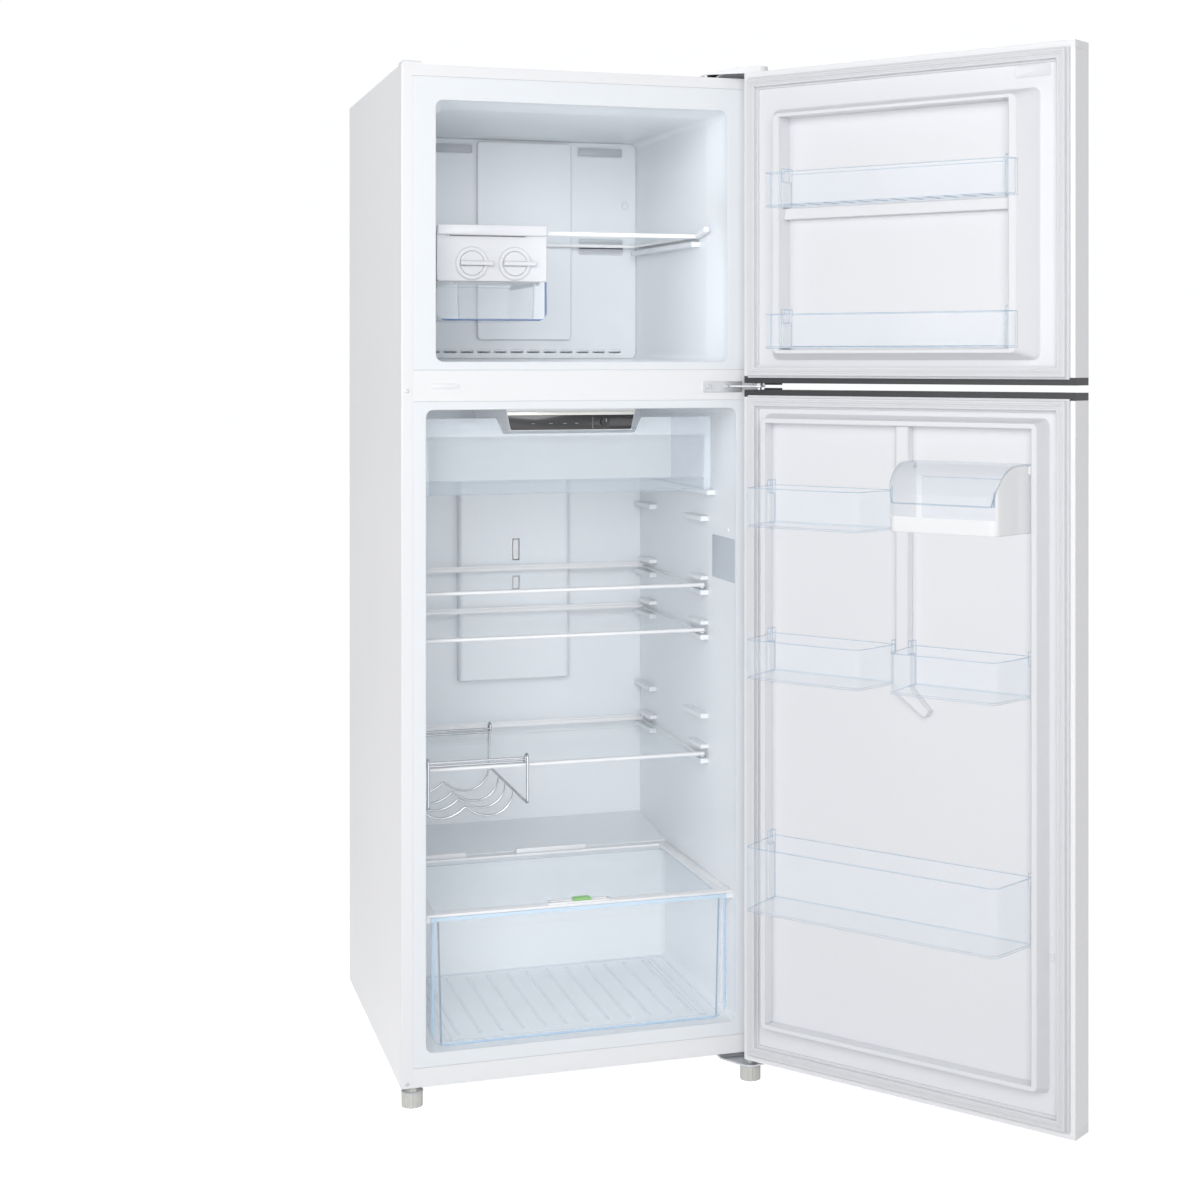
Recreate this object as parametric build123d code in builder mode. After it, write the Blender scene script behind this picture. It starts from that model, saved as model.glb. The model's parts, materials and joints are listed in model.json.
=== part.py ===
from build123d import *
import os
from math import acos, degrees

# A two-door refrigerator with the freezer on top, all sizes in millimetres.
# It is modelled from the cabinet's own lower left front corner: X to the right, Y to the back, Z up.
# Each piece is then moved so that the origin is the middle of the left levelling foot's underside.

# Cabinet
WIDTH = 600.0
DEPTH = 611.0
HEIGHT = 1628.0
SHEET = 1.0
LINER = 2.0
SHELL_RADIUS = 3.0
SIDE_FLANGE = 18.5
TOP_FLANGE = 17.5
REAR_FLANGE = 14.0
FIT = 0.3
BEARING = 0.05

# Levels of the two rooms
FREEZER_ROOF = 55.0
FREEZER_OPENING = 418.0
DIVIDER = 77.4
MULLION_MARGIN = 14.0
FRIDGE_LOW = 53.0
RAIL_HEIGHT = 30.0
FREEZER_HIGH = HEIGHT - FREEZER_ROOF
FREEZER_LOW = FREEZER_HIGH - FREEZER_OPENING
FRIDGE_HIGH = FREEZER_LOW - DIVIDER
MULLION_LOW = FRIDGE_HIGH + MULLION_MARGIN
MULLION_HIGH = FREEZER_LOW - MULLION_MARGIN

# Freezer room: a flared throat, then walls that close in a little towards the back
FREEZER_INSET = 55.6
FREEZER_DEPTH = DEPTH - 71.0
THROAT_DEPTH = 77.0
THROAT_INSET = 12.4
THROAT_DROP = 6.0
FREEZER_DRAFT = 25.0
FREEZER_RISE = 6.0
ROOM_RADIUS = 12.0

# Fridge room
FRIDGE_INSET = 40.0
FRIDGE_DEPTH = DEPTH - 48.0
FRIDGE_DRAFT = 8.0
FRIDGE_RISE = 2.0
HUMP_SLOPE = 19.0

# Compressor bay
BAY_FRONT = DEPTH - 179.0
BAY_HIGH = 232.0
BAY_WALL = 32.0
BAY_CEILING = 36.0
HUMP_FRONT = BAY_FRONT - BAY_WALL
HUMP_HIGH = BAY_HIGH + BAY_CEILING
BOTTOM_PANEL = 18.0
TRAY_LEVEL = 2.0
TRAY_SHEET = 2.0
TRAY_LIP = 22.0

# Doors
DOOR_GAP = 12.0
DOOR_THICKNESS = 50.0
DOOR_RADIUS = 8.0
DOOR_SPLIT = 22.5
SPLIT_GAP = 11.0
TOP_OVERHANG = 3.5
BOTTOM_CLEARANCE = 3.5
OPEN_ANGLE = 126.0
PIVOT_INSET = 12.0
PIVOT_FORWARD = 38.0
CAP_HEIGHT = 11.5
CAP_WALL = 2.5
DOOR_RETURN = 8.0
BOSS_RADIUS = 9.0
GRIP_DEPTH = 28.0
GRIP_WIDTH = 22.0
GRIP_SETBACK = 12.0
GRIP_MARGIN = 30.0
GRIP_LENGTH = WIDTH - 210.0
PIVOT_X = WIDTH - PIVOT_INSET
PIVOT_Y = -PIVOT_FORWARD
HINGE_LEVEL = MULLION_LOW + DOOR_SPLIT
FREEZER_DOOR = (HINGE_LEVEL + SPLIT_GAP / 2, HEIGHT + TOP_OVERHANG)
FRIDGE_DOOR = (BOTTOM_CLEARANCE, HINGE_LEVEL - SPLIT_GAP / 2)

# Hinges and feet
PLATE = 3.0
PIN_RADIUS = 4.0
PIN_REACH = 10.0
COLLAR_RADIUS = 7.0
FOOT_X = 20.0
FOOT_Y = 15.0
FOOT_HEIGHT = 32.0
FOOT_RADIUS = 17.0
FOOT_PAD = 24.0
FOOT_FLUTES = 12
STUD_RADIUS = 5.0
STUD_CLEARANCE = 0.2
BRACKET_DROP = 5.0
RIGHT_FOOT_INSET = 27.0
RIGHT_FOOT_FORWARD = 35.0
RAIL_SHEET = 2.0
RAIL_DEPTH = 60.0
ROLLER_RADIUS = 16.0
ROLLER_WIDTH = 16.0
AXLE_RADIUS = 4.0
ROLLER_INSET = 26.0
ROLLER_SETBACK = DEPTH - 51.0
CHEEK = 3.0

# Door liners: a raised dyke around a flat pan, in from the door's edges
FREEZER_DYKE = dict(base=58.0, crest=80.0, pan=93.0, low=38.5, high=66.5, slope=10.0, pan_rise=6.0, tall=35.0)
FRIDGE_DYKE = dict(base=43.0, crest=50.0, pan=60.0, low=60.5, high=38.5, slope=7.0, pan_rise=8.0, tall=26.0)
PAN_DEPTH = 6.0
PAN_RADIUS = 10.0
RAIL_RIB = 4.2
RAIL_RIB_TALL = 14.0
HOOK_HEIGHT = 8.0
FREEZER_RIB = (264.5, 18.0)
FREEZER_RIB_TALL = 14.0
POST_LEFT = WIDTH / 2 - 25.0
POST_WIDTH = 22.0
POST_FOOT = FRIDGE_DOOR[1] - 468.6
POST_TALL = 14.0
GASKET_OUTER = 9.0
GASKET_INNER = 30.0

# Door bins
BIN_WALL = 2.2
BIN_GAP = 0.8
BIN_CORNER = 14.0
FLOOR_RIB = 1.5
FREEZER_BIN_REACH = 60.0
FRIDGE_BIN_REACH = 106.0
BIN_FLARE = 16.0

# Drawers, shelves and their room from the walls
SHELF_INSET = 51.0
SHELF_FRONT = 140.0
SHELF_BACK = FRIDGE_DEPTH - 30.0
GLASS = 4.0
GLASS_EDGE = 2.0
TRIM_DEPTH = 10.0
TRIM_RISE = 2.5
TRIM_DROP = 7.5
SIDE_RAIL = 10.0
SHELF_THICK = 10.0
LEDGE_REACH = 14.0
LEDGE_TALL = 9.0
LEDGE_SPANS = ((148.0, 248.0), (FRIDGE_DEPTH - 108.0, FRIDGE_DEPTH - 8.0))
GUIDE_RISE = 7.0
GUIDE_TALL = 7.0
GUIDE_SHORTER = 30.0
SHELF_SHARES = (0.4119, 0.6217, 0.6978)
SPARE_SHARES = (0.4782, 0.8130)
FREEZER_SHELF_TOP = FREEZER_LOW + 216.0
FREEZER_SHELF_UNDER = FREEZER_SHELF_TOP - SHELF_THICK
CHILLER_LOW = FRIDGE_HIGH - 143.6
CHILLER_FRONT = 105.0
CHILLER_BACK = FRIDGE_DEPTH - 83.0
CRISPER_COVER_UNDER = HUMP_HIGH - 5.5
CRISPER_FRONT = 20.0
CRISPER_BACK = HUMP_FRONT - 15.0
CRISPER_INSET = 51.5
COIL_COVER = FREEZER_DEPTH - 90.0


def facing(y):
    """The upright plane seen from the front, at a distance behind the cabinet's front."""
    return Plane.XZ.offset(-y)


def bounded(left, right, low, high, radius=0.0, mode=Mode.ADD):
    """A rectangle between four edges."""
    with Locations(((left + right) / 2, (low + high) / 2)):
        if radius:
            RectangleRounded(right - left, high - low, radius, mode=mode)
        else:
            Rectangle(right - left, high - low, mode=mode)


def block(left, right, front, back, low, high, mode=Mode.ADD):
    """A block between six faces."""
    with Locations(((left + right) / 2, (front + back) / 2, (low + high) / 2)):
        Box(right - left, back - front, high - low, mode=mode)


def upright(x, y, low, high, radius, mode=Mode.ADD):
    """An upright round bar."""
    with Locations((x, y, (low + high) / 2)):
        Cylinder(radius, high - low, mode=mode)


def endways(x, z, front, back, radius, mode=Mode.ADD):
    """A round bar along the depth."""
    with Locations((x, (front + back) / 2, z)):
        Cylinder(radius, back - front, rotation=(90, 0, 0), mode=mode)


def crossways(left, right, y, z, radius, mode=Mode.ADD):
    """A round bar along the width."""
    with Locations(((left + right) / 2, y, z)):
        Cylinder(radius, right - left, rotation=(0, 90, 0), mode=mode)


HOME = Location((-FOOT_X, -FOOT_Y, FOOT_HEIGHT))
SWING = HOME * Location((PIVOT_X, PIVOT_Y, 0)) * Location((0, 0, 0), (0, 0, OPEN_ANGLE))
SWING = SWING * Location((-PIVOT_X, -PIVOT_Y, 0))
os.makedirs("parts", exist_ok=True)


def save(piece, label, place=HOME):
    """Put a finished piece in its place, label it and write it."""
    shape = piece.part.moved(place)
    shape.label = label
    export_step(shape, f"parts/{label}.step")


# The two rooms, each lofted through its upright sections

FREEZER_STATIONS = (
    (0.0, FREEZER_INSET, FREEZER_LOW, FREEZER_HIGH),
    (THROAT_DEPTH, FREEZER_INSET + THROAT_INSET, FREEZER_LOW + 2, FREEZER_HIGH - THROAT_DROP),
    (
        FREEZER_DEPTH,
        FREEZER_INSET + THROAT_INSET + FREEZER_DRAFT,
        FREEZER_LOW + FREEZER_RISE,
        FREEZER_HIGH - THROAT_DROP - FREEZER_RISE,
    ),
)
FRIDGE_STATIONS = (
    (0.0, FRIDGE_INSET, FRIDGE_LOW, FRIDGE_HIGH),
    (FRIDGE_DEPTH, FRIDGE_INSET + FRIDGE_DRAFT, FRIDGE_LOW + FRIDGE_RISE, FRIDGE_HIGH - FRIDGE_DRAFT),
)


def room(stations, grow=0.0, deepen=0.0):
    """A room's space, with its sides moved out by grow and its back by deepen."""
    radius = max(ROOM_RADIUS + grow, 0)
    with BuildPart() as space:
        for y, inset, low, high in stations:
            y = y + deepen if y == stations[-1][0] else y
            with BuildSketch(facing(y)):
                bounded(inset - grow, WIDTH - inset + grow, low - grow, high + grow, radius)
        loft(ruled=True)
    return space.part


def hump(grow=0.0):
    """The raised floor over the compressor bay, seen from the side and run across the cabinet."""
    with BuildPart() as raised:
        with BuildSketch(Plane.YZ):
            with BuildLine():
                high = HUMP_HIGH - grow
                front = HUMP_FRONT + grow
                Polyline(
                    (front, 0),
                    (front, high),
                    (DEPTH, high + HUMP_SLOPE * (DEPTH - HUMP_FRONT) / (FRIDGE_DEPTH - HUMP_FRONT)),
                    (DEPTH, 0),
                    close=True,
                )
            make_face()
        extrude(amount=WIDTH)
    return raised.part


def wall_ledges(stations, reach, spans):
    """Ledges that stand in from a room's walls: front, back, low and high of each."""
    with BuildPart() as bars:
        for front, back, low, high in spans:
            block(0, WIDTH, front, back, low, high)
        add(room(stations, -reach), mode=Mode.SUBTRACT)
    return bars.part


def wall_inset(stations, y):
    """How far a room's side wall stands in from the cabinet's side at a depth."""
    for (near, first, *_), (far, second, *_) in zip(stations, stations[1:]):
        if y <= far:
            return first + (second - first) * (y - near) / (far - near)
    return stations[-1][1]


SHELF_TOPS = [FRIDGE_LOW + share * (FRIDGE_HIGH - FRIDGE_LOW) for share in SHELF_SHARES]
SPARE_LEDGES = [FRIDGE_LOW + share * (FRIDGE_HIGH - FRIDGE_LOW) for share in SPARE_SHARES]
freezer_seat = FREEZER_SHELF_UNDER - FIT
freezer_spans = [(110.0, COIL_COVER - 15, freezer_seat - LEDGE_TALL, freezer_seat)]
chiller_seat = CHILLER_LOW - FIT
fridge_spans = [(CHILLER_FRONT + 8, CHILLER_BACK, chiller_seat - LEDGE_TALL, chiller_seat)]
for front, back in LEDGE_SPANS:
    for top in SHELF_TOPS:
        seat = top - SHELF_THICK - FIT
        guide = top + GUIDE_RISE
        fridge_spans.append((front, back, seat - LEDGE_TALL, seat))
        fridge_spans.append((front, back - GUIDE_SHORTER, guide, guide + GUIDE_TALL))
    for top in SPARE_LEDGES:
        fridge_spans.append((front, back, top - LEDGE_TALL, top))

with BuildPart() as freezer_space:
    add(room(FREEZER_STATIONS))
    add(wall_ledges(FREEZER_STATIONS, LEDGE_REACH, freezer_spans), mode=Mode.SUBTRACT)

with BuildPart() as cover_ledges:
    seat = CRISPER_COVER_UNDER
    inner = CRISPER_INSET - BIN_GAP
    block(0, WIDTH, CRISPER_FRONT, CRISPER_BACK, seat - LEDGE_TALL, seat)
    block(inner, WIDTH - inner, CRISPER_FRONT, CRISPER_BACK, seat - LEDGE_TALL, seat, Mode.SUBTRACT)

with BuildPart() as fridge_space:
    add(room(FRIDGE_STATIONS))
    add(hump(), mode=Mode.SUBTRACT)
    add(wall_ledges(FRIDGE_STATIONS, LEDGE_REACH, fridge_spans), mode=Mode.SUBTRACT)
    add(cover_ledges.part, mode=Mode.SUBTRACT)

with BuildPart() as fridge_pocket:
    add(room(FRIDGE_STATIONS, LINER, LINER))
    add(hump(LINER), mode=Mode.SUBTRACT)

freezer_pocket = room(FREEZER_STATIONS, LINER, LINER)


# Cabinet shell: side and top sheets with turned-in flanges, open at the bottom

def rounded_block(inset, front, back, low, high, radius):
    """A block across the cabinet with its upright edges rounded."""
    with BuildPart() as body:
        with BuildSketch(Plane.XY.offset(low)):
            bounded(inset, WIDTH - inset, front, back, radius)
        extrude(amount=high - low)
    return body.part


with BuildPart() as cabinet_shell:
    add(rounded_block(0, 0, DEPTH, 0, HEIGHT, SHELL_RADIUS))
    add(
        rounded_block(SHEET, SHEET, DEPTH - SHEET, -SHEET, HEIGHT - SHEET, SHELL_RADIUS - SHEET),
        mode=Mode.SUBTRACT,
    )
    with BuildSketch(facing(0)):
        bounded(SIDE_FLANGE, WIDTH - SIDE_FLANGE, 0, HEIGHT - TOP_FLANGE)
    extrude(amount=-SHEET, mode=Mode.SUBTRACT)
    with BuildSketch(facing(DEPTH - SHEET)):
        bounded(REAR_FLANGE, WIDTH - REAR_FLANGE, 0, HEIGHT - REAR_FLANGE)
    extrude(amount=-SHEET, mode=Mode.SUBTRACT)
save(cabinet_shell, "cabinet_shell")

with BuildPart() as back_panel:
    block(SHELL_RADIUS, WIDTH - SHELL_RADIUS, DEPTH - 2 * SHEET, DEPTH - SHEET, BAY_HIGH, HEIGHT - SHEET)
save(back_panel, "back_panel")

# Base: a stepped bottom panel with the compressor's tray and two roller brackets

ROLLER_Z = ROLLER_RADIUS - FOOT_HEIGHT
ROLLER_X = (ROLLER_INSET, WIDTH - ROLLER_INSET)

with BuildPart() as base_frame:
    with BuildSketch(Plane.YZ.offset(SHELL_RADIUS)):
        with BuildLine():
            Polyline(
                (SHELL_RADIUS, BOTTOM_PANEL),
                (BAY_FRONT + SHEET, BOTTOM_PANEL),
                (BAY_FRONT + SHEET, BAY_HIGH - SHEET),
                (DEPTH - 2 * SHEET, BAY_HIGH - SHEET),
                (DEPTH - 2 * SHEET, BAY_HIGH),
                (BAY_FRONT, BAY_HIGH),
                (BAY_FRONT, BOTTOM_PANEL + SHEET),
                (SHELL_RADIUS, BOTTOM_PANEL + SHEET),
                close=True,
            )
        make_face()
        with BuildLine():
            Polyline(
                (BAY_FRONT + SHEET, TRAY_LEVEL),
                (DEPTH - 2 * SHEET, TRAY_LEVEL),
                (DEPTH - 2 * SHEET, TRAY_LEVEL + TRAY_LIP),
                (DEPTH - 2 * SHEET - TRAY_SHEET, TRAY_LEVEL + TRAY_LIP),
                (DEPTH - 2 * SHEET - TRAY_SHEET, TRAY_LEVEL + TRAY_SHEET),
                (BAY_FRONT + SHEET + TRAY_SHEET, TRAY_LEVEL + TRAY_SHEET),
                (BAY_FRONT + SHEET + TRAY_SHEET, TRAY_LEVEL + TRAY_LIP),
                (BAY_FRONT + SHEET, TRAY_LEVEL + TRAY_LIP),
                close=True,
            )
        make_face()
    extrude(amount=WIDTH - 2 * SHELL_RADIUS)
    for left, right in ((SHEET, SHELL_RADIUS), (WIDTH - SHELL_RADIUS, WIDTH - SHEET)):
        block(left, right, BAY_FRONT, DEPTH - SHELL_RADIUS, TRAY_LEVEL, BAY_HIGH)
    for x in ROLLER_X:
        for side in (-1, 1):
            inner = ROLLER_WIDTH / 2 + FIT
            left = x + side * (inner + CHEEK / 2)
            with BuildSketch(Plane.YZ.offset(left - CHEEK / 2)):
                with BuildLine():
                    Polyline(
                        (ROLLER_SETBACK - ROLLER_RADIUS, TRAY_LEVEL),
                        (ROLLER_SETBACK - 2 * AXLE_RADIUS, ROLLER_Z - 2 * AXLE_RADIUS),
                        (ROLLER_SETBACK + 2 * AXLE_RADIUS, ROLLER_Z - 2 * AXLE_RADIUS),
                        (ROLLER_SETBACK + ROLLER_RADIUS, TRAY_LEVEL),
                        close=True,
                    )
                make_face()
            extrude(amount=CHEEK)
        crossways(
            x - ROLLER_WIDTH, x + ROLLER_WIDTH, ROLLER_SETBACK, ROLLER_Z, AXLE_RADIUS + BEARING, Mode.SUBTRACT
        )
save(base_frame, "base_frame")

with BuildPart() as rear_rollers:
    for x in ROLLER_X:
        with BuildSketch(Plane.YZ.offset(x - ROLLER_WIDTH / 2)):
            with Locations((ROLLER_SETBACK, ROLLER_Z)):
                Circle(ROLLER_RADIUS)
        extrude(amount=ROLLER_WIDTH)
        rims = edges(Select.LAST).filter_by(GeomType.CIRCLE)
        chamfer(rims, 1.5)
        end = ROLLER_WIDTH / 2 + FIT + CHEEK
        crossways(x - end, x + end, ROLLER_SETBACK, ROLLER_Z, AXLE_RADIUS)
save(rear_rollers, "rear_rollers")

# Front rail, with the left foot's weld nut

with BuildPart() as lower_front_rail:
    block(SIDE_FLANGE, WIDTH - SIDE_FLANGE, 0, RAIL_SHEET, 0, RAIL_HEIGHT)
    block(SIDE_FLANGE, WIDTH - SIDE_FLANGE, 0, SHELL_RADIUS, 0, RAIL_SHEET)
    block(SHELL_RADIUS, WIDTH - SHELL_RADIUS, SHELL_RADIUS, RAIL_DEPTH, 0, RAIL_SHEET)
    with BuildSketch(Plane.XY.offset(RAIL_SHEET)):
        with Locations((FOOT_X, FOOT_Y)):
            RegularPolygon(2 * STUD_RADIUS, 6)
    extrude(amount=6)
    upright(FOOT_X, FOOT_Y, -1, 2 * FOOT_Y, STUD_RADIUS + STUD_CLEARANCE, Mode.SUBTRACT)
save(lower_front_rail, "lower_front_rail")

with BuildPart() as mullion_cover:
    block(SIDE_FLANGE, WIDTH - SIDE_FLANGE, 0, LINER, MULLION_LOW, MULLION_HIGH)
    for low in (MULLION_LOW, MULLION_HIGH - LINER):
        block(SIDE_FLANGE, WIDTH - SIDE_FLANGE, LINER, 6 * LINER, low, low + LINER)
    with BuildSketch(facing(0)):
        with Locations((70.8, HINGE_LEVEL + 1.5)):
            SlotOverall(44.5, 8.6)
    extrude(amount=1.2)
save(mullion_cover, "mullion_cover")

# Liners and foam

with BuildPart() as freezer_liner:
    block(SIDE_FLANGE, WIDTH - SIDE_FLANGE, 0, LINER, MULLION_HIGH, HEIGHT - TOP_FLANGE)
    add(freezer_pocket)
    add(freezer_space.part, mode=Mode.SUBTRACT)
save(freezer_liner, "freezer_liner")

with BuildPart() as fridge_liner:
    block(SIDE_FLANGE, WIDTH - SIDE_FLANGE, 0, LINER, RAIL_HEIGHT, MULLION_LOW)
    add(fridge_pocket.part)
    add(fridge_space.part, mode=Mode.SUBTRACT)
save(fridge_liner, "fridge_liner")

# The foam is laid in blocks of simple shape: a layer's lower level and where it is parted in depth
FOAM_LAYERS = (
    (0.0, (0, HUMP_FRONT - LINER, BAY_FRONT, DEPTH)),
    (HUMP_HIGH + HUMP_SLOPE, (0, FRIDGE_DEPTH + LINER, DEPTH)),
    (FRIDGE_HIGH - FRIDGE_DRAFT - 2 * ROOM_RADIUS, (0, DEPTH)),
    (FREEZER_LOW + 2 * ROOM_RADIUS, (0, FREEZER_DEPTH + LINER, DEPTH)),
    (FREEZER_HIGH - THROAT_DROP - 2 * ROOM_RADIUS, (0, DEPTH)),
    (HEIGHT, ()),
)


def foam_blocks(whole):
    """The foam parted at its layers, and each layer in depth."""
    blocks = []
    for (low, parting), (high, _) in zip(FOAM_LAYERS, FOAM_LAYERS[1:]):
        for front, back in zip(parting, parting[1:]):
            with BuildPart() as piece:
                add(whole)
                block(0, WIDTH, front, back, low, high, Mode.INTERSECT)
            blocks += piece.part.solids()
    return blocks


with BuildPart() as foam_insulation:
    outline = (SHEET, SHEET, DEPTH - 2 * SHEET)
    add(rounded_block(*outline, BOTTOM_PANEL + SHEET, HEIGHT - SHEET, SHELL_RADIUS - SHEET))
    block(0, WIDTH, BAY_FRONT, DEPTH, 0, BAY_HIGH, Mode.SUBTRACT)
    block(SIDE_FLANGE, WIDTH - SIDE_FLANGE, 0, LINER, RAIL_HEIGHT, HEIGHT - TOP_FLANGE, Mode.SUBTRACT)
    block(SIDE_FLANGE, WIDTH - SIDE_FLANGE, 0, RAIL_SHEET, 0, RAIL_HEIGHT, Mode.SUBTRACT)
    add(freezer_pocket, mode=Mode.SUBTRACT)
    add(fridge_pocket.part, mode=Mode.SUBTRACT)
    add(mullion_cover.part, mode=Mode.SUBTRACT)
    add(foam_blocks(foam_insulation.part), mode=Mode.REPLACE)
save(foam_insulation, "foam_insulation")

# Hinges: bent plates with turned pins, each carrying a door on a collar


def stepped_plate(level, step, run, right):
    """A bent plate seen from the side: flat on the cabinet, stepped by step where it leaves it."""
    with BuildPart() as plate:
        with BuildSketch(Plane.YZ):
            with BuildLine():
                ramp = PLATE + abs(step)
                Polyline(
                    (run, level),
                    (run, level + PLATE),
                    (ramp, level + PLATE),
                    (0, level + PLATE + step),
                    (-2 * PIVOT_FORWARD, level + PLATE + step),
                    (-2 * PIVOT_FORWARD, level + step),
                    (0, level + step),
                    (ramp, level),
                    close=True,
                )
            make_face()
        extrude(amount=right)
    return plate.part


def hinge_outline(level, rounds, run, left, right):
    """A hinge plate seen from above: round ends joined to the part that is bolted down."""
    with BuildPart() as outline:
        with BuildSketch(Plane.XY.offset(level)):
            for x, y, radius in rounds:
                with Locations((x, y)):
                    Circle(radius)
            bounded(left, right, PLATE + BRACKET_DROP, run)
            make_hull()
        extrude(amount=4 * FOOT_HEIGHT, both=True)
    return outline.part


PIN_END = COLLAR_RADIUS + PLATE
RIGHT_FOOT = (WIDTH - RIGHT_FOOT_INSET, -RIGHT_FOOT_FORWARD)
BRACKET_UNDER = -PLATE - BRACKET_DROP
TOP_STEP = TOP_OVERHANG + 2.5
TOP_PLATE = HEIGHT + TOP_STEP

with BuildPart() as bottom_hinge:
    add(stepped_plate(-PLATE, -BRACKET_DROP, RAIL_DEPTH - 2, WIDTH))
    add(
        hinge_outline(
            -PLATE,
            ((PIVOT_X, PIVOT_Y, PIN_END), (*RIGHT_FOOT, FOOT_RADIUS)),
            RAIL_DEPTH - 2,
            WIDTH - 72,
            WIDTH - SHELL_RADIUS,
        ),
        mode=Mode.INTERSECT,
    )
    upright(PIVOT_X, PIVOT_Y, -BRACKET_DROP, FRIDGE_DOOR[0] - FIT, COLLAR_RADIUS)
    upright(PIVOT_X, PIVOT_Y, -BRACKET_DROP, FRIDGE_DOOR[0] + PIN_REACH, PIN_RADIUS)
    upright(*RIGHT_FOOT, BRACKET_UNDER - 1, 1, STUD_RADIUS + STUD_CLEARANCE, Mode.SUBTRACT)
save(bottom_hinge, "bottom_hinge")

ARM_LEFT = WIDTH - 98.0
ARM_PLATE = 2.5
with BuildPart() as middle_hinge:
    with BuildSketch(facing(0)):
        bounded(ARM_LEFT, PIVOT_X - 18, HINGE_LEVEL - 10, HINGE_LEVEL + 8, 2)
        with Locations((ARM_LEFT + 10, HINGE_LEVEL - 0.6), (ARM_LEFT + 40, HINGE_LEVEL - 0.6)):
            Circle(2.2, mode=Mode.SUBTRACT)
    extrude(amount=ARM_PLATE)
    with BuildSketch(Plane.XY.offset(HINGE_LEVEL - PLATE / 2)):
        with Locations((PIVOT_X, PIVOT_Y)):
            Circle(PIN_END)
        bounded(PIVOT_X - 42, PIVOT_X - 18, -ARM_PLATE, -ARM_PLATE / 2)
        make_hull()
    extrude(amount=PLATE)
    upright(PIVOT_X, PIVOT_Y, HINGE_LEVEL, FREEZER_DOOR[0] - FIT, COLLAR_RADIUS)
    upright(PIVOT_X, PIVOT_Y, FRIDGE_DOOR[1] - PIN_REACH, FREEZER_DOOR[0] + PIN_REACH, PIN_RADIUS)
save(middle_hinge, "middle_hinge")

TOP_RUN = 62.0
TOP_LEFT = WIDTH - 72.0
with BuildPart() as top_hinge:
    add(stepped_plate(HEIGHT, TOP_STEP, TOP_RUN, WIDTH))
    add(
        hinge_outline(HEIGHT, ((PIVOT_X, PIVOT_Y, PIN_END),), TOP_RUN, TOP_LEFT, WIDTH - SHELL_RADIUS),
        mode=Mode.INTERSECT,
    )
    upright(PIVOT_X, PIVOT_Y, FREEZER_DOOR[1] + FIT, TOP_PLATE, COLLAR_RADIUS)
    upright(PIVOT_X, PIVOT_Y, FREEZER_DOOR[1] - PIN_REACH, TOP_PLATE, PIN_RADIUS)
save(top_hinge, "top_hinge")

COVER_TOP = HEIGHT + 15.0
COVER_LEFT = WIDTH - 94.0
COVER_WALL = 1.6
COVER_BACK = 70.0


def cover_body(inset):
    """The hinge cover's outer or inner form: a plan outline under a top that slopes to the left."""
    with BuildPart() as hood:
        with BuildSketch(facing(-2 * PIVOT_FORWARD)):
            with BuildLine():
                Polyline(
                    (COVER_LEFT, HEIGHT),
                    (COVER_LEFT, HEIGHT + 5 - inset),
                    (COVER_LEFT + 46, COVER_TOP - inset),
                    (WIDTH + PIN_END, COVER_TOP - inset),
                    (WIDTH + PIN_END, HEIGHT),
                    close=True,
                )
            make_face()
        extrude(amount=-DEPTH / 2)
        with BuildSketch(Plane.XY.offset(HEIGHT)) as plan:
            with Locations((PIVOT_X, PIVOT_Y)):
                Circle(PIN_END + 4 - inset)
            bounded(COVER_LEFT + inset, WIDTH - SHEET - inset, 5 + inset, COVER_BACK - inset)
            make_hull()
        extrude(amount=COVER_TOP - HEIGHT, mode=Mode.INTERSECT)
    return hood.part


with BuildPart() as top_hinge_cover:
    add(cover_body(0))
    add(cover_body(COVER_WALL), mode=Mode.SUBTRACT)
    block(0, 2 * WIDTH, -DEPTH, 4, 0, FREEZER_DOOR[1] + BIN_GAP, Mode.SUBTRACT)
save(top_hinge_cover, "top_hinge_cover")

with BuildPart() as top_left_cap:
    block(SHEET, 33, 2, 34, HEIGHT, HEIGHT + 6)
    upper = faces().sort_by(Axis.Z)[-1]
    chamfer(upper.edges(), 1.5)
save(top_left_cap, "top_left_cap")


def levelling_foot(x, y, nut):
    """A fluted pad on a stud, with a lock nut of the given height above the pad."""
    top = FOOT_PAD - FOOT_HEIGHT
    with BuildPart() as foot:
        with BuildSketch(Plane.XY.offset(-FOOT_HEIGHT)):
            with Locations((x, y)):
                Circle(FOOT_RADIUS)
                with PolarLocations(FOOT_RADIUS + 1, FOOT_FLUTES):
                    Circle(2.2, mode=Mode.SUBTRACT)
        extrude(amount=FOOT_PAD - 4)
        upright(x, y, top - 4, top, FOOT_RADIUS)
        if nut:
            with BuildSketch(Plane.XY.offset(top)):
                with Locations((x, y)):
                    RegularPolygon(2 * STUD_RADIUS, 6)
            extrude(amount=nut)
        upright(x, y, top, top + nut + PLATE + 6, STUD_RADIUS)
    return foot.part


with BuildPart() as front_feet:
    add(levelling_foot(FOOT_X, FOOT_Y, FOOT_HEIGHT - FOOT_PAD))
    add(levelling_foot(*RIGHT_FOOT, 0))
save(front_feet, "front_feet")

# Doors: skin, liner, foam, gasket and two end caps each, modelled closed and then swung open

DOOR_IN = -DOOR_GAP
DOOR_OUT = -DOOR_GAP - DOOR_THICKNESS


def door_plan(inset, radius, back):
    """A door's outline from above, moved in by inset, with its two outer corners rounded."""
    bounded(inset, WIDTH - inset, DOOR_OUT + inset, back)
    corners = vertices().sort_by(Axis.Y)[:2]
    fillet(corners, radius)


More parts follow.
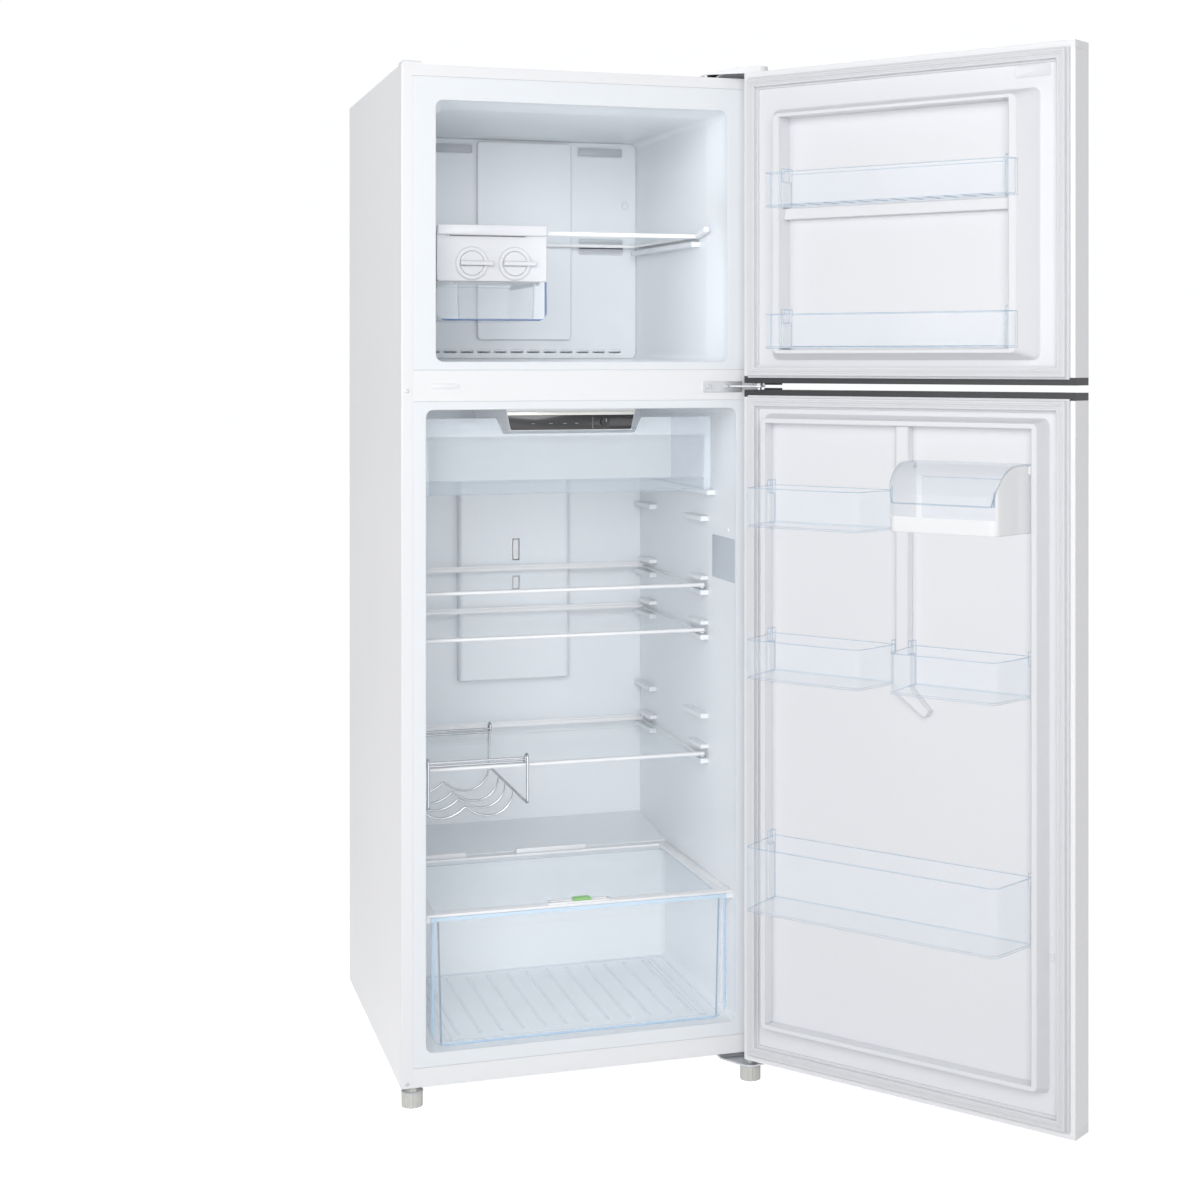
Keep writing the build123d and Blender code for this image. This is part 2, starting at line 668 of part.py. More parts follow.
def door_skin(door):
    """The painted sheet around a door's front and sides, with its edges turned in."""
    low, high = door[0] + CAP_HEIGHT, door[1] - CAP_HEIGHT
    with BuildPart() as skin:
        with BuildSketch(Plane.XY.offset(low)):
            with BuildSketch(mode=Mode.PRIVATE) as inner:
                door_plan(SHEET, DOOR_RADIUS - SHEET, DOOR_IN - SHEET)
            door_plan(0, DOOR_RADIUS, DOOR_IN)
            add(inner.sketch, mode=Mode.SUBTRACT)
            bounded(DOOR_RETURN, WIDTH - DOOR_RETURN, DOOR_IN - SHEET, DOOR_IN, mode=Mode.SUBTRACT)
        extrude(amount=high - low)
    return skin


def dyke(door, form, inset):
    """A door liner's dyke, whole, with its sides and top moved in by inset."""
    low, high = door[0] + form["low"], door[1] - form["high"]
    crest = DOOR_IN + form["tall"]
    slope, rise = form["slope"], form["slope"] + form["pan_rise"]
    pan = form["pan"] - inset
    with BuildPart() as ridge:
        with BuildSketch(facing(DOOR_IN - inset)):
            left = form["base"] + inset
            bounded(left, WIDTH - left, low + inset, high - inset, PAN_RADIUS)
        with BuildSketch(facing(crest - inset)):
            left = form["crest"] + inset
            bounded(left, WIDTH - left, low + slope + inset, high - slope - inset, PAN_RADIUS)
        loft(ruled=True)
        with BuildSketch(facing(DOOR_IN + PAN_DEPTH - inset)):
            bounded(pan, WIDTH - pan, low + rise - inset, high - rise + inset)
        extrude(amount=-form["tall"], mode=Mode.SUBTRACT)
    return ridge.part


def freezer_bars(inset):
    """The cross rib of the freezer door's pan."""
    low, tall = FREEZER_RIB
    with BuildPart() as bar:
        pan = FREEZER_DYKE["pan"] - inset
        level = FREEZER_DOOR[0] + low
        block(
            pan,
            WIDTH - pan,
            DOOR_IN + PAN_DEPTH - inset,
            DOOR_IN + PAN_DEPTH + FREEZER_RIB_TALL - inset,
            level + inset,
            level + tall - inset,
        )
    return bar.part


def fridge_bars(inset):
    """The upright post of the fridge door's pan, ending in a slanted strut."""
    top = FRIDGE_DOOR[1] - FRIDGE_DYKE["high"] - FRIDGE_DYKE["slope"] - FRIDGE_DYKE["pan_rise"]
    right = POST_LEFT + POST_WIDTH
    with BuildPart() as bar:
        with BuildSketch(facing(DOOR_IN + PAN_DEPTH - inset)):
            with BuildLine():
                Polyline(
                    (right, top + inset),
                    (right, POST_FOOT),
                    (right - 50, POST_FOOT - 34),
                    (right - 58, POST_FOOT - 24),
                    (POST_LEFT, POST_FOOT + 12),
                    (POST_LEFT, top + inset),
                    close=True,
                )
            make_face()
            if inset:
                offset(amount=-inset)
        extrude(amount=-POST_TALL)
    return bar.part


def door_liner(door, form, bars, seats):
    """A formed liner: flat edge, hollow dyke, the pan's bars and the ribs that the bins hang on."""
    low, high = door[0] + CAP_HEIGHT, door[1] - CAP_HEIGHT
    with BuildPart() as liner:
        block(DOOR_RETURN, WIDTH - DOOR_RETURN, DOOR_IN - LINER, DOOR_IN, low, high)
        add(dyke(door, form, 0))
        add(bars(0))
        add(dyke(door, form, LINER), mode=Mode.SUBTRACT)
        add(bars(LINER), mode=Mode.SUBTRACT)
        for x, seat, rib_low in seats:
            block(x, x + RAIL_RIB, DOOR_IN + PAN_DEPTH, DOOR_IN + form["tall"] - 6, rib_low, seat)
    return liner


def door_cap(door, top, grip):
    """An end cap: a plate with a rim and the pin's boss, and the finger grip where there is one."""
    outer = door[1] if top else door[0]
    inward = -1 if top else 1
    with BuildPart() as cap:
        with BuildSketch(Plane.XY.offset(outer)):
            door_plan(0, DOOR_RADIUS, DOOR_IN)
        extrude(amount=inward * CAP_HEIGHT)
        with BuildSketch(Plane.XY.offset(outer + inward * CAP_WALL)):
            door_plan(CAP_WALL, DOOR_RADIUS - CAP_WALL, DOOR_IN - CAP_WALL)
        extrude(amount=inward * CAP_HEIGHT, mode=Mode.SUBTRACT)
        with BuildSketch(Plane.XY.offset(outer)):
            with Locations((PIVOT_X, PIVOT_Y)):
                Circle(BOSS_RADIUS)
        extrude(amount=inward * CAP_HEIGHT)
        if grip:
            add(grip_block(outer, inward, CAP_WALL))
            add(grip_block(outer, inward, 0), mode=Mode.SUBTRACT)
            lug_near, lug_far = COLLAR_RADIUS * 2, COLLAR_RADIUS * 6
            block(
                PIVOT_X - lug_far,
                PIVOT_X - lug_near,
                PIVOT_Y - 6,
                PIVOT_Y + 6,
                min(outer, outer - inward * PLATE),
                max(outer, outer - inward * PLATE),
            )
        upright(
            PIVOT_X,
            PIVOT_Y,
            outer - CAP_HEIGHT,
            outer + CAP_HEIGHT,
            PIN_RADIUS + BEARING,
            Mode.SUBTRACT,
        )
    return cap


def grip_block(outer, inward, wall):
    """The finger grip's slot, or its outside when given a wall."""
    front = DOOR_OUT + GRIP_SETBACK
    start = outer if inward > 0 else outer - GRIP_DEPTH - wall
    with BuildPart() as slot:
        block(
            GRIP_MARGIN - wall,
            GRIP_MARGIN + GRIP_LENGTH + wall,
            front - wall,
            front + GRIP_WIDTH + wall,
            start,
            start + GRIP_DEPTH + wall,
        )
        fillet(slot.edges().filter_by(Axis.Z), 4 + wall)
    return slot.part


def door_foam(door, form, bars, top_grip):
    """A door's foam from skin to liner, in blocks: the slab, the pan, the dyke's sides and the bars."""
    pan = form["pan"] - LINER
    with BuildPart() as slab:
        with BuildSketch(Plane.XY.offset(door[0] + CAP_HEIGHT)):
            door_plan(SHEET, DOOR_RADIUS - SHEET, DOOR_IN - LINER)
        extrude(amount=door[1] - door[0] - 2 * CAP_HEIGHT)
        with BuildSketch(Plane.XY.offset(door[0] + CAP_WALL)):
            door_plan(CAP_WALL, DOOR_RADIUS - CAP_WALL, DOOR_IN - CAP_WALL)
        extrude(amount=door[1] - door[0] - 2 * CAP_WALL)
        for level in door:
            upright(PIVOT_X, PIVOT_Y, level - CAP_HEIGHT, level + CAP_HEIGHT, BOSS_RADIUS, Mode.SUBTRACT)
        if top_grip:
            add(grip_block(door[1], -1, CAP_WALL), mode=Mode.SUBTRACT)
        else:
            add(grip_block(door[0], 1, CAP_WALL), mode=Mode.SUBTRACT)
    with BuildPart() as raised:
        add(dyke(door, form, LINER))
        split(bisect_by=facing(DOOR_IN + PAN_DEPTH - LINER), keep=Keep.BOTH)
        for x in (pan, WIDTH - pan):
            split(bisect_by=Plane.YZ.offset(x), keep=Keep.BOTH)
    with BuildPart() as foam:
        add([slab.part, raised.part, bars(LINER)], mode=Mode.REPLACE)
    return foam


def door_gasket(door):
    """The gasket: its root, its bellows and the head with the magnet, as rings."""
    face = -FIT
    reach = DOOR_GAP - FIT
    layers = (
        (GASKET_OUTER, GASKET_INNER, DOOR_IN, DOOR_IN + 0.25 * reach),
        (GASKET_OUTER + 4, GASKET_INNER - 4, DOOR_IN + 0.25 * reach, face - 0.35 * reach),
        (GASKET_OUTER + 1, GASKET_INNER - 1, face - 0.35 * reach, face),
    )
    with BuildPart() as gasket:
        for outer, inner, front, back in layers:
            with BuildSketch(facing(front)):
                bounded(outer, WIDTH - outer, door[0] + outer, door[1] - outer)
                with Locations((WIDTH / 2, (door[0] + door[1]) / 2)):
                    Rectangle(
                        WIDTH - 2 * inner,
                        door[1] - door[0] - 2 * inner,
                        mode=Mode.SUBTRACT,
                    )
            extrude(amount=front - back)
    return gasket


# Door bins: front, ends and floor in one, hung by an ear over a rib at each back corner

PAN_FACE = DOOR_IN + PAN_DEPTH


class Bin:
    """Where a bin sits between two upright faces of the pan, and how high its ears stand."""

    def __init__(self, left, right, low, tall, reach, ears=HOOK_HEIGHT):
        self.left = left
        self.right = right
        self.low = low
        self.high = low + tall
        self.front = DOOR_IN + reach
        self.seat = self.high - RAIL_RIB_TALL
        self.ears = ears


FREEZER_PAN = FREEZER_DYKE["pan"]
FRIDGE_PAN = FRIDGE_DYKE["pan"]
POST_RIGHT = POST_LEFT + POST_WIDTH
FREEZER_UPPER = Bin(FREEZER_PAN, WIDTH - FREEZER_PAN, FREEZER_DOOR[0] + 283.4, 55.0, FREEZER_BIN_REACH)
FREEZER_LOWER = Bin(FREEZER_PAN, WIDTH - FREEZER_PAN, FREEZER_DOOR[0] + 56.4, 55.0, FREEZER_BIN_REACH)
LEFT_UPPER = Bin(POST_RIGHT, WIDTH - FRIDGE_PAN, FRIDGE_DOOR[1] - 215.6, 62.0, FRIDGE_BIN_REACH)
LEFT_LOWER = Bin(POST_RIGHT, WIDTH - FRIDGE_PAN, FRIDGE_DOOR[1] - 456.6, 62.0, FRIDGE_BIN_REACH)
RIGHT_BIN = Bin(FRIDGE_PAN, POST_LEFT, FRIDGE_DOOR[1] - 455.6, 62.0, FRIDGE_BIN_REACH)
DAIRY = Bin(FRIDGE_PAN, POST_LEFT, FRIDGE_DOOR[1] - 209.6, 101.0, FRIDGE_BIN_REACH, ears=0)
BOTTLES = Bin(FRIDGE_PAN, WIDTH - FRIDGE_PAN, FRIDGE_DOOR[0] + 279.5, 102.0, FRIDGE_BIN_REACH)


def rib_seats(bins):
    """The ribs at both ends of each bin: left edge, top and bottom."""
    ribs = []
    for each in bins:
        ribs.append((each.left, each.seat, each.low))
        ribs.append((each.right - RAIL_RIB, each.seat, each.low))
    return ribs


def bin_plan(each, wings):
    """A bin's outline from above: flared towards the door, or with wings in front of the dyke."""
    side = RAIL_RIB + BIN_GAP
    back = PAN_FACE + FIT
    left, right = each.left + side, each.right - side
    if wings:
        crest = DOOR_IN + FREEZER_DYKE["tall"] + FIT
        half = [(right, back), (right, crest), (right + wings, crest), (right + wings, each.front)]
    else:
        half = [(right, back), (right - BIN_FLARE + side, each.front)]
    mirrored = [(left + right - x, y) for x, y in reversed(half)]
    Polygon(*half, *mirrored, align=None)
    corners = vertices().sort_by(Axis.Y)[-2:]
    fillet(corners, BIN_CORNER)


def door_bin(each, wings=0.0, floor_ribs=0):
    """A bin formed from its outline, opened at the top, with its two hanging ears."""
    with BuildPart() as tub:
        with BuildSketch(Plane.XY.offset(each.low)):
            bin_plan(each, wings)
        extrude(amount=each.high - each.low)
        offset(amount=-BIN_WALL, openings=faces().sort_by(Axis.Z)[-1])
        if floor_ribs:
            pitch = (each.right - each.left - 40) / floor_ribs
            floor = each.low + BIN_WALL + FLOOR_RIB / 2
            with Locations(((each.left + each.right) / 2, (PAN_FACE + each.front) / 2, floor)):
                with GridLocations(pitch, 1, floor_ribs, 1):
                    Box(2, each.front - PAN_FACE - 12, FLOOR_RIB)
        depth = FREEZER_DYKE["tall"] - PAN_DEPTH if wings else FRIDGE_DYKE["tall"] - PAN_DEPTH
        for inner in (each.left + BIN_GAP, each.right - BIN_GAP - RAIL_RIB - BIN_WALL):
            block(
                inner,
                inner + RAIL_RIB + BIN_WALL,
                PAN_FACE + FIT,
                PAN_FACE + depth - 5,
                each.seat + FIT,
                each.high + each.ears,
            )
    return tub


save(door_skin(FREEZER_DOOR), "freezer_door_skin", SWING)
save(
    door_liner(FREEZER_DOOR, FREEZER_DYKE, freezer_bars, rib_seats((FREEZER_UPPER, FREEZER_LOWER))),
    "freezer_door_liner",
    SWING,
)
save(door_foam(FREEZER_DOOR, FREEZER_DYKE, freezer_bars, False), "freezer_door_foam", SWING)
save(door_gasket(FREEZER_DOOR), "freezer_door_gasket", SWING)
save(door_cap(FREEZER_DOOR, True, False), "freezer_door_top_cap", SWING)
save(door_cap(FREEZER_DOOR, False, True), "freezer_door_bottom_cap", SWING)
save(door_skin(FRIDGE_DOOR), "fridge_door_skin", SWING)
save(
    door_liner(
        FRIDGE_DOOR,
        FRIDGE_DYKE,
        fridge_bars,
        rib_seats((LEFT_UPPER, LEFT_LOWER, RIGHT_BIN, DAIRY, BOTTLES)),
    ),
    "fridge_door_liner",
    SWING,
)
save(door_foam(FRIDGE_DOOR, FRIDGE_DYKE, fridge_bars, True), "fridge_door_foam", SWING)
save(door_gasket(FRIDGE_DOOR), "fridge_door_gasket", SWING)
save(door_cap(FRIDGE_DOOR, True, True), "fridge_door_top_cap", SWING)
save(door_cap(FRIDGE_DOOR, False, False), "fridge_door_bottom_cap", SWING)

WINGS = 21.0
save(door_bin(FREEZER_UPPER, WINGS, 12), "freezer_bin_upper", SWING)
save(door_bin(FREEZER_LOWER, WINGS, 12), "freezer_bin_lower", SWING)
save(door_bin(LEFT_UPPER), "left_bin_upper", SWING)
save(door_bin(LEFT_LOWER), "left_bin_lower", SWING)
save(door_bin(RIGHT_BIN), "right_bin", SWING)
save(door_bin(BOTTLES), "bottle_bin", SWING)

# Dairy box: a bin whose sides curve down to a low front, under a curved lid on two pins

LID_RADIUS = 60.0
LID_WALL = 2.0
LID_PIN = 2.0
LID_PIN_Y = 3.0
LID_PIN_DROP = 6.0
DAIRY_BACK_WALL = 22.0


def lid_curve(grow):
    """The space under the lid's curve, seen from the side, raised by grow."""
    top = DAIRY.high + grow
    radius = LID_RADIUS + grow
    front = DAIRY.front + grow
    with BuildPart() as under:
        with BuildSketch(Plane.YZ):
            with BuildLine():
                Line((DOOR_OUT, DAIRY.low), (DOOR_OUT, top))
                Line((DOOR_OUT, top), (front - radius, top))
                RadiusArc((front - radius, top), (front, top - radius), radius)
                Line((front, top - radius), (front, DAIRY.low))
                Line((front, DAIRY.low), (DOOR_OUT, DAIRY.low))
            make_face()
        extrude(amount=WIDTH)
    return under.part


LID_PIN_Z = DAIRY.high - LID_PIN_DROP
DAIRY_LEFT = DAIRY.left + RAIL_RIB + BIN_GAP
DAIRY_RIGHT = DAIRY.right - RAIL_RIB - BIN_GAP
DAIRY_LIP = DAIRY.high - LID_RADIUS + LID_WALL

with BuildPart() as behind_pins:
    block(0, WIDTH, PAN_FACE, LID_PIN_Y, LID_PIN_Z, DAIRY.high)
    crossways(0, WIDTH, LID_PIN_Y, LID_PIN_Z, LID_PIN_DROP, Mode.SUBTRACT)

dairy_box = door_bin(DAIRY)
with dairy_box:
    add(lid_curve(0), mode=Mode.INTERSECT)
    block(
        DAIRY_LEFT + BIN_CORNER,
        DAIRY_RIGHT - BIN_CORNER,
        DAIRY.front - 2 * BIN_WALL,
        DAIRY.front + 1,
        DAIRY_LIP,
        DAIRY.high,
        Mode.SUBTRACT,
    )
    block(
        DAIRY_LEFT + BIN_WALL,
        DAIRY_RIGHT - BIN_WALL,
        PAN_FACE,
        PAN_FACE + 2 * BIN_WALL,
        DAIRY.high - DAIRY_BACK_WALL,
        DAIRY.high,
        Mode.SUBTRACT,
    )
    add(behind_pins.part, mode=Mode.SUBTRACT)
    crossways(0, WIDTH, LID_PIN_Y, LID_PIN_Z, LID_PIN + BEARING, Mode.SUBTRACT)
save(dairy_box, "dairy_box", SWING)

with BuildPart() as dairy_lid:
    add(lid_curve(FIT + LID_WALL))
    add(lid_curve(FIT), mode=Mode.SUBTRACT)
    block(0, WIDTH, DOOR_OUT, 0, DAIRY.low, DAIRY.high + LID_RADIUS, Mode.SUBTRACT)
    block(0, WIDTH, 0, 2 * FRIDGE_BIN_REACH, DAIRY.low, DAIRY_LIP + FIT, Mode.SUBTRACT)
    with BuildSketch(Plane.XY.offset(DAIRY.low)):
        with BuildLine():
            flare = BIN_FLARE - RAIL_RIB - BIN_GAP
            reach = LID_WALL + FIT
            Polyline(
                (DAIRY_LEFT, 0),
                (DAIRY_LEFT + flare, DAIRY.front + reach),
                (DAIRY_RIGHT - flare, DAIRY.front + reach),
                (DAIRY_RIGHT, 0),
                close=True,
            )
        make_face()
        fillet(vertices().sort_by(Axis.Y)[-2:], BIN_CORNER)
    extrude(amount=DAIRY.high, mode=Mode.INTERSECT)
    for wall, outward in ((DAIRY_LEFT + BIN_WALL + 2, -1), (DAIRY_RIGHT - BIN_WALL - 2, 1)):
        ends = sorted((wall, wall - outward * LID_WALL))
        block(*ends, 0, 2 * LID_PIN_Y, LID_PIN_Z - LID_PIN_Y, DAIRY.high + FIT)
        pin = sorted((wall, wall + outward * (BIN_WALL + 1.6)))
        crossways(*pin, LID_PIN_Y, LID_PIN_Z, LID_PIN)
save(dairy_lid, "dairy_lid", SWING)

# Behind the freezer room: evaporator, its fan and the cover with the air slots

COIL_COVER_DEEP = 25.0
COIL_COVER_WALL = 2.5
COIL_PANEL = (WIDTH / 2 - 90, WIDTH / 2 + 85, FREEZER_LOW + 40, FREEZER_HIGH - 16)
COIL_PANEL_PROUD = 7.0
VENT_SLOT = 5.5
VENT_LONG = 83.0
UPPER_VENT = (141.5, FREEZER_HIGH - 29)
LOWER_VENT = (143.5, FREEZER_SHELF_TOP - 2)
RETURN_SLOTS = 12
RETURN_LEVEL = FREEZER_LOW + 18.5
SENSOR_CAP = (WIDTH / 2 + 190, FREEZER_HIGH - 127, 6.0)
COIL_Y = FREEZER_DEPTH - 32
COIL_LOW = FREEZER_LOW + 40
COIL_TALL = FREEZER_OPENING - 213
COIL_SIDE = 120.0
COIL_DEEP = 44.0
COIL_FIN = 1.2
COIL_FINS = 25
COIL_ROWS = 6
TUBE_RADIUS = 4.0
FAN_X = WIDTH / 2
FAN_Z = FREEZER_HIGH - 93
FAN_FRONT = FREEZER_DEPTH - 62
FAN_HUB = 12.0
FAN_RADIUS = 44.0
FAN_BLADES = 5
FAN_DEEP = 18.0
BLADE_CHORD = 24.0
BLADE_THICK = 1.8
BLADE_PITCH = 30.0
SHAFT_RADIUS = 2.5
MOTOR_RADIUS = 24.0
MOTOR_DEEP = 30.0

with BuildPart() as behind_cover:
    add(room(FREEZER_STATIONS, -FIT - COIL_COVER_WALL))
    block(0, WIDTH, COIL_COVER + COIL_COVER_WALL, DEPTH, 0, HEIGHT, Mode.INTERSECT)

with BuildPart() as evaporator_cover:
    wall = COIL_COVER_WALL
    left, right, low, high = COIL_PANEL
    proud = COIL_COVER - COIL_PANEL_PROUD
    add(room(FREEZER_STATIONS, -FIT))
    block(0, WIDTH, COIL_COVER, COIL_COVER + COIL_COVER_DEEP, 0, HEIGHT, Mode.INTERSECT)
    add(behind_cover.part, mode=Mode.SUBTRACT)
    block(left, right, proud, COIL_COVER, low, high)
    rim = edges(Select.LAST).filter_by(Axis.Y)
    fillet(rim, 3 * wall)
    block(left + wall, right - wall, proud + wall, COIL_COVER + wall, low + wall, high - wall, Mode.SUBTRACT)
    reach, level = UPPER_VENT
    with Locations((WIDTH / 2, COIL_COVER, level)):
        with GridLocations(2 * reach, 1, 2, 1):
            with Locations((0, 0, -0.8 * VENT_SLOT), (0, 0, 0.8 * VENT_SLOT)):
                Box(VENT_LONG, 4 * wall, VENT_SLOT, mode=Mode.SUBTRACT)
    reach, level = LOWER_VENT
    with Locations((WIDTH / 2 + reach, COIL_COVER, level)):
        with Locations((0, 0, -1.7 * VENT_SLOT), (0, 0, 1.7 * VENT_SLOT)):
            Box(VENT_LONG, 4 * wall, 1.7 * VENT_SLOT, mode=Mode.SUBTRACT)
    with Locations((WIDTH / 2, COIL_COVER, RETURN_LEVEL)):
        with GridLocations(31, 1, RETURN_SLOTS, 1):
            Box(22, 4 * wall, VENT_SLOT, mode=Mode.SUBTRACT)
    x, z, radius = SENSOR_CAP
    endways(x, z, COIL_COVER - wall, COIL_COVER, radius)
save(evaporator_cover, "evaporator_cover")

with BuildPart() as evaporator:
    span = WIDTH - 2 * COIL_SIDE
    with BuildSketch(Plane.XY.offset(COIL_LOW)):
        with Locations((WIDTH / 2, COIL_Y)):
            Rectangle(span, TUBE_RADIUS)
            with GridLocations(span / (COIL_FINS - 1), 1, COIL_FINS, 1):
                Rectangle(COIL_FIN, COIL_DEEP)
            with GridLocations(span, 1, 2, 1):
                Rectangle(2 * COIL_FIN, 2 * (FREEZER_DEPTH - FIT - COIL_Y))
    extrude(amount=COIL_TALL)
    row = COIL_TALL / COIL_ROWS
    for index in range(COIL_ROWS - 1):
        side = -1 if index % 2 else 1
        x = WIDTH / 2 + side * span / 2
        low = COIL_LOW + row * (index + 0.5)
        crown = (x + side * row / 2, COIL_Y, low + row / 2)
        with BuildLine() as bend:
            ThreePointArc((x, COIL_Y, low), crown, (x, COIL_Y, low + row))
        with BuildSketch(Plane(origin=bend.line @ 0, z_dir=bend.line % 0)):
            Circle(TUBE_RADIUS)
        sweep(path=bend.line)
save(evaporator, "evaporator")

with BuildPart() as fan_motor:
    front = FAN_FRONT + FAN_DEEP + 2
    back = FREEZER_DEPTH - FIT
    endways(FAN_X, FAN_Z, FAN_FRONT, front, SHAFT_RADIUS)
    endways(FAN_X, FAN_Z, front, front + MOTOR_DEEP, MOTOR_RADIUS)
    block(FAN_X - 35, FAN_X + 35, front + MOTOR_DEEP, back, FAN_Z - 8, FAN_Z + 8)
    block(FAN_X - 45, FAN_X + 45, back - PLATE, back, FAN_Z - 20, FAN_Z + 20)
save(fan_motor, "fan_motor")

with BuildPart() as evaporator_fan:
    with Locations(Plane(origin=(FAN_X, FAN_FRONT + FAN_DEEP / 2, FAN_Z), x_dir=(1, 0, 0), z_dir=(0, -1, 0))):
        with PolarLocations((FAN_HUB + FAN_RADIUS) / 2, FAN_BLADES):
            Box(FAN_RADIUS - FAN_HUB + 4, BLADE_CHORD, BLADE_THICK, rotation=(BLADE_PITCH, 0, 0))
        Cylinder(FAN_RADIUS, 2 * FAN_DEEP, mode=Mode.INTERSECT)
        Cylinder(FAN_HUB, FAN_DEEP)
        Cylinder(SHAFT_RADIUS + BEARING, 2 * FAN_DEEP, mode=Mode.SUBTRACT)
save(evaporator_fan, "evaporator_fan")

# In the fridge room: air duct and control box

DUCT_SIDE = WIDTH / 2 - 105.5
DUCT_LOW = FRIDGE_LOW + 504
DUCT_HIGH = FRIDGE_HIGH - 37.6
DUCT_FRONT = FRIDGE_DEPTH - 22
DUCT_WALL = 2.0
DUCT_CORNER = 8.0
DUCT_SLOTS = ((DUCT_HIGH - 239, 40.0), (DUCT_HIGH - 301.5, 25.0))
CONTROL_FRONT = 93.0
CONTROL_BACK = 380.0
CONTROL_LOW = FRIDGE_HIGH - 37.6
CONTROL_LEFT = WIDTH / 2 - 104
CONTROL_RIGHT = WIDTH / 2 + 104
CONTROL_FLARE = 8.0
CONTROL_WALL = 2.5
CONTROL_FACE = 5.0
DIAL_BAND = (5.0, 23.0)
DIAL_RECESS = 2.0
KNOB_X = WIDTH / 2 + 58
KNOB_Z = CONTROL_LOW + 14
KNOB_RADIUS = 7.0
KNOB_BAR = 3.0
KNOB_SHAFT = 12.0

with BuildPart() as fridge_air_duct:
    block(DUCT_SIDE, WIDTH - DUCT_SIDE, DUCT_FRONT, FRIDGE_DEPTH - FIT, DUCT_LOW, DUCT_HIGH)
    fillet(edges().filter_by(Axis.Z).sort_by(Axis.Y)[:2], DUCT_CORNER)
    offset(amount=-DUCT_WALL, openings=faces().sort_by(Axis.Y)[-1])
    for level, tall in DUCT_SLOTS:
        with Locations((WIDTH / 2 + 2.5, DUCT_FRONT, level)):
            Box(13, 4 * DUCT_WALL, tall, mode=Mode.SUBTRACT)
save(fridge_air_duct, "fridge_air_duct")


def control_form(inset, front, back, mode=Mode.ADD):
    """The control box's wedge form between two depths, moved in by inset."""
    with BuildSketch(facing(front)) as wedge:
        Polygon(
            (CONTROL_LEFT - CONTROL_FLARE + inset, FRIDGE_HIGH),
            (CONTROL_LEFT + inset, CONTROL_LOW + inset),
            (CONTROL_RIGHT - inset, CONTROL_LOW + inset),
            (CONTROL_RIGHT + CONTROL_FLARE - inset, FRIDGE_HIGH),
            align=None,
        )
    extrude(wedge.sketch, amount=front - back, mode=mode)


with BuildPart() as control_box:
    control_form(0, CONTROL_FRONT, CONTROL_BACK)
    add(room(FRIDGE_STATIONS, -FIT), mode=Mode.INTERSECT)
    control_form(CONTROL_WALL, CONTROL_FRONT + CONTROL_FACE, CONTROL_BACK - CONTROL_WALL, Mode.SUBTRACT)
    with BuildSketch(facing(CONTROL_FRONT)):
        low, high = DIAL_BAND
        bounded(CONTROL_LEFT + 8, CONTROL_RIGHT - 8, CONTROL_LOW + low, CONTROL_LOW + high, 4)
    extrude(amount=-DIAL_RECESS, mode=Mode.SUBTRACT)
    shaft_end = CONTROL_FRONT + 2 * CONTROL_FACE
    endways(KNOB_X, KNOB_Z, CONTROL_FRONT, shaft_end, SHAFT_RADIUS + BEARING, Mode.SUBTRACT)
save(control_box, "control_box")

with BuildPart() as control_knob:
    front = CONTROL_FRONT - 2 * KNOB_BAR
    half, tall = KNOB_BAR / 2, KNOB_RADIUS - 1
    endways(KNOB_X, KNOB_Z, front, CONTROL_FRONT + DIAL_RECESS - FIT, KNOB_RADIUS)
    block(KNOB_X - half, KNOB_X + half, front - KNOB_BAR, front, KNOB_Z - tall, KNOB_Z + tall)
    endways(KNOB_X, KNOB_Z, CONTROL_FRONT, CONTROL_FRONT + KNOB_SHAFT, SHAFT_RADIUS)
save(control_knob, "control_knob")

# Moulded tubs with a little draft, for drawers and pans


def moulded_tub(left, right, front, back, low, high, wall, corner, draft):
    """An open tub with an upright front, whose other sides close in by draft towards its floor."""
    with BuildPart() as body:
        for inset, mode in ((0, Mode.ADD), (wall, Mode.SUBTRACT)):
            with BuildSketch(Plane.XY.offset(high)):
                bounded(left + inset, right - inset, front + inset, back - inset, corner - inset)
            with BuildSketch(Plane.XY.offset(low + inset)):
                toe = inset + draft
                bounded(left + toe, right - toe, front + inset, back - toe, corner - inset)
            loft(mode=mode)
    return body.part


# Compressor bay

COMPRESSOR_X = 190.0
COMPRESSOR_Y = DEPTH - 89
COMPRESSOR_RADIUS = 72.0
COMPRESSOR_LOW = 30.0
COMPRESSOR_TOP = 188.0
WELD_LOW = 108.0
WELD_TALL = 8.0
WELD_PROUD = 4.0
DOME_RADIUS = 34.0
TOE_RADIUS = 14.0
FOOT_PLATE = (190.0, 146.0, 20.0)
GROMMET_PITCH = (156.0, 112.0)
GROMMET_RADIUS = 10.0
TRAY_TOP = TRAY_LEVEL + TRAY_SHEET
PAN_TALL = 26.0

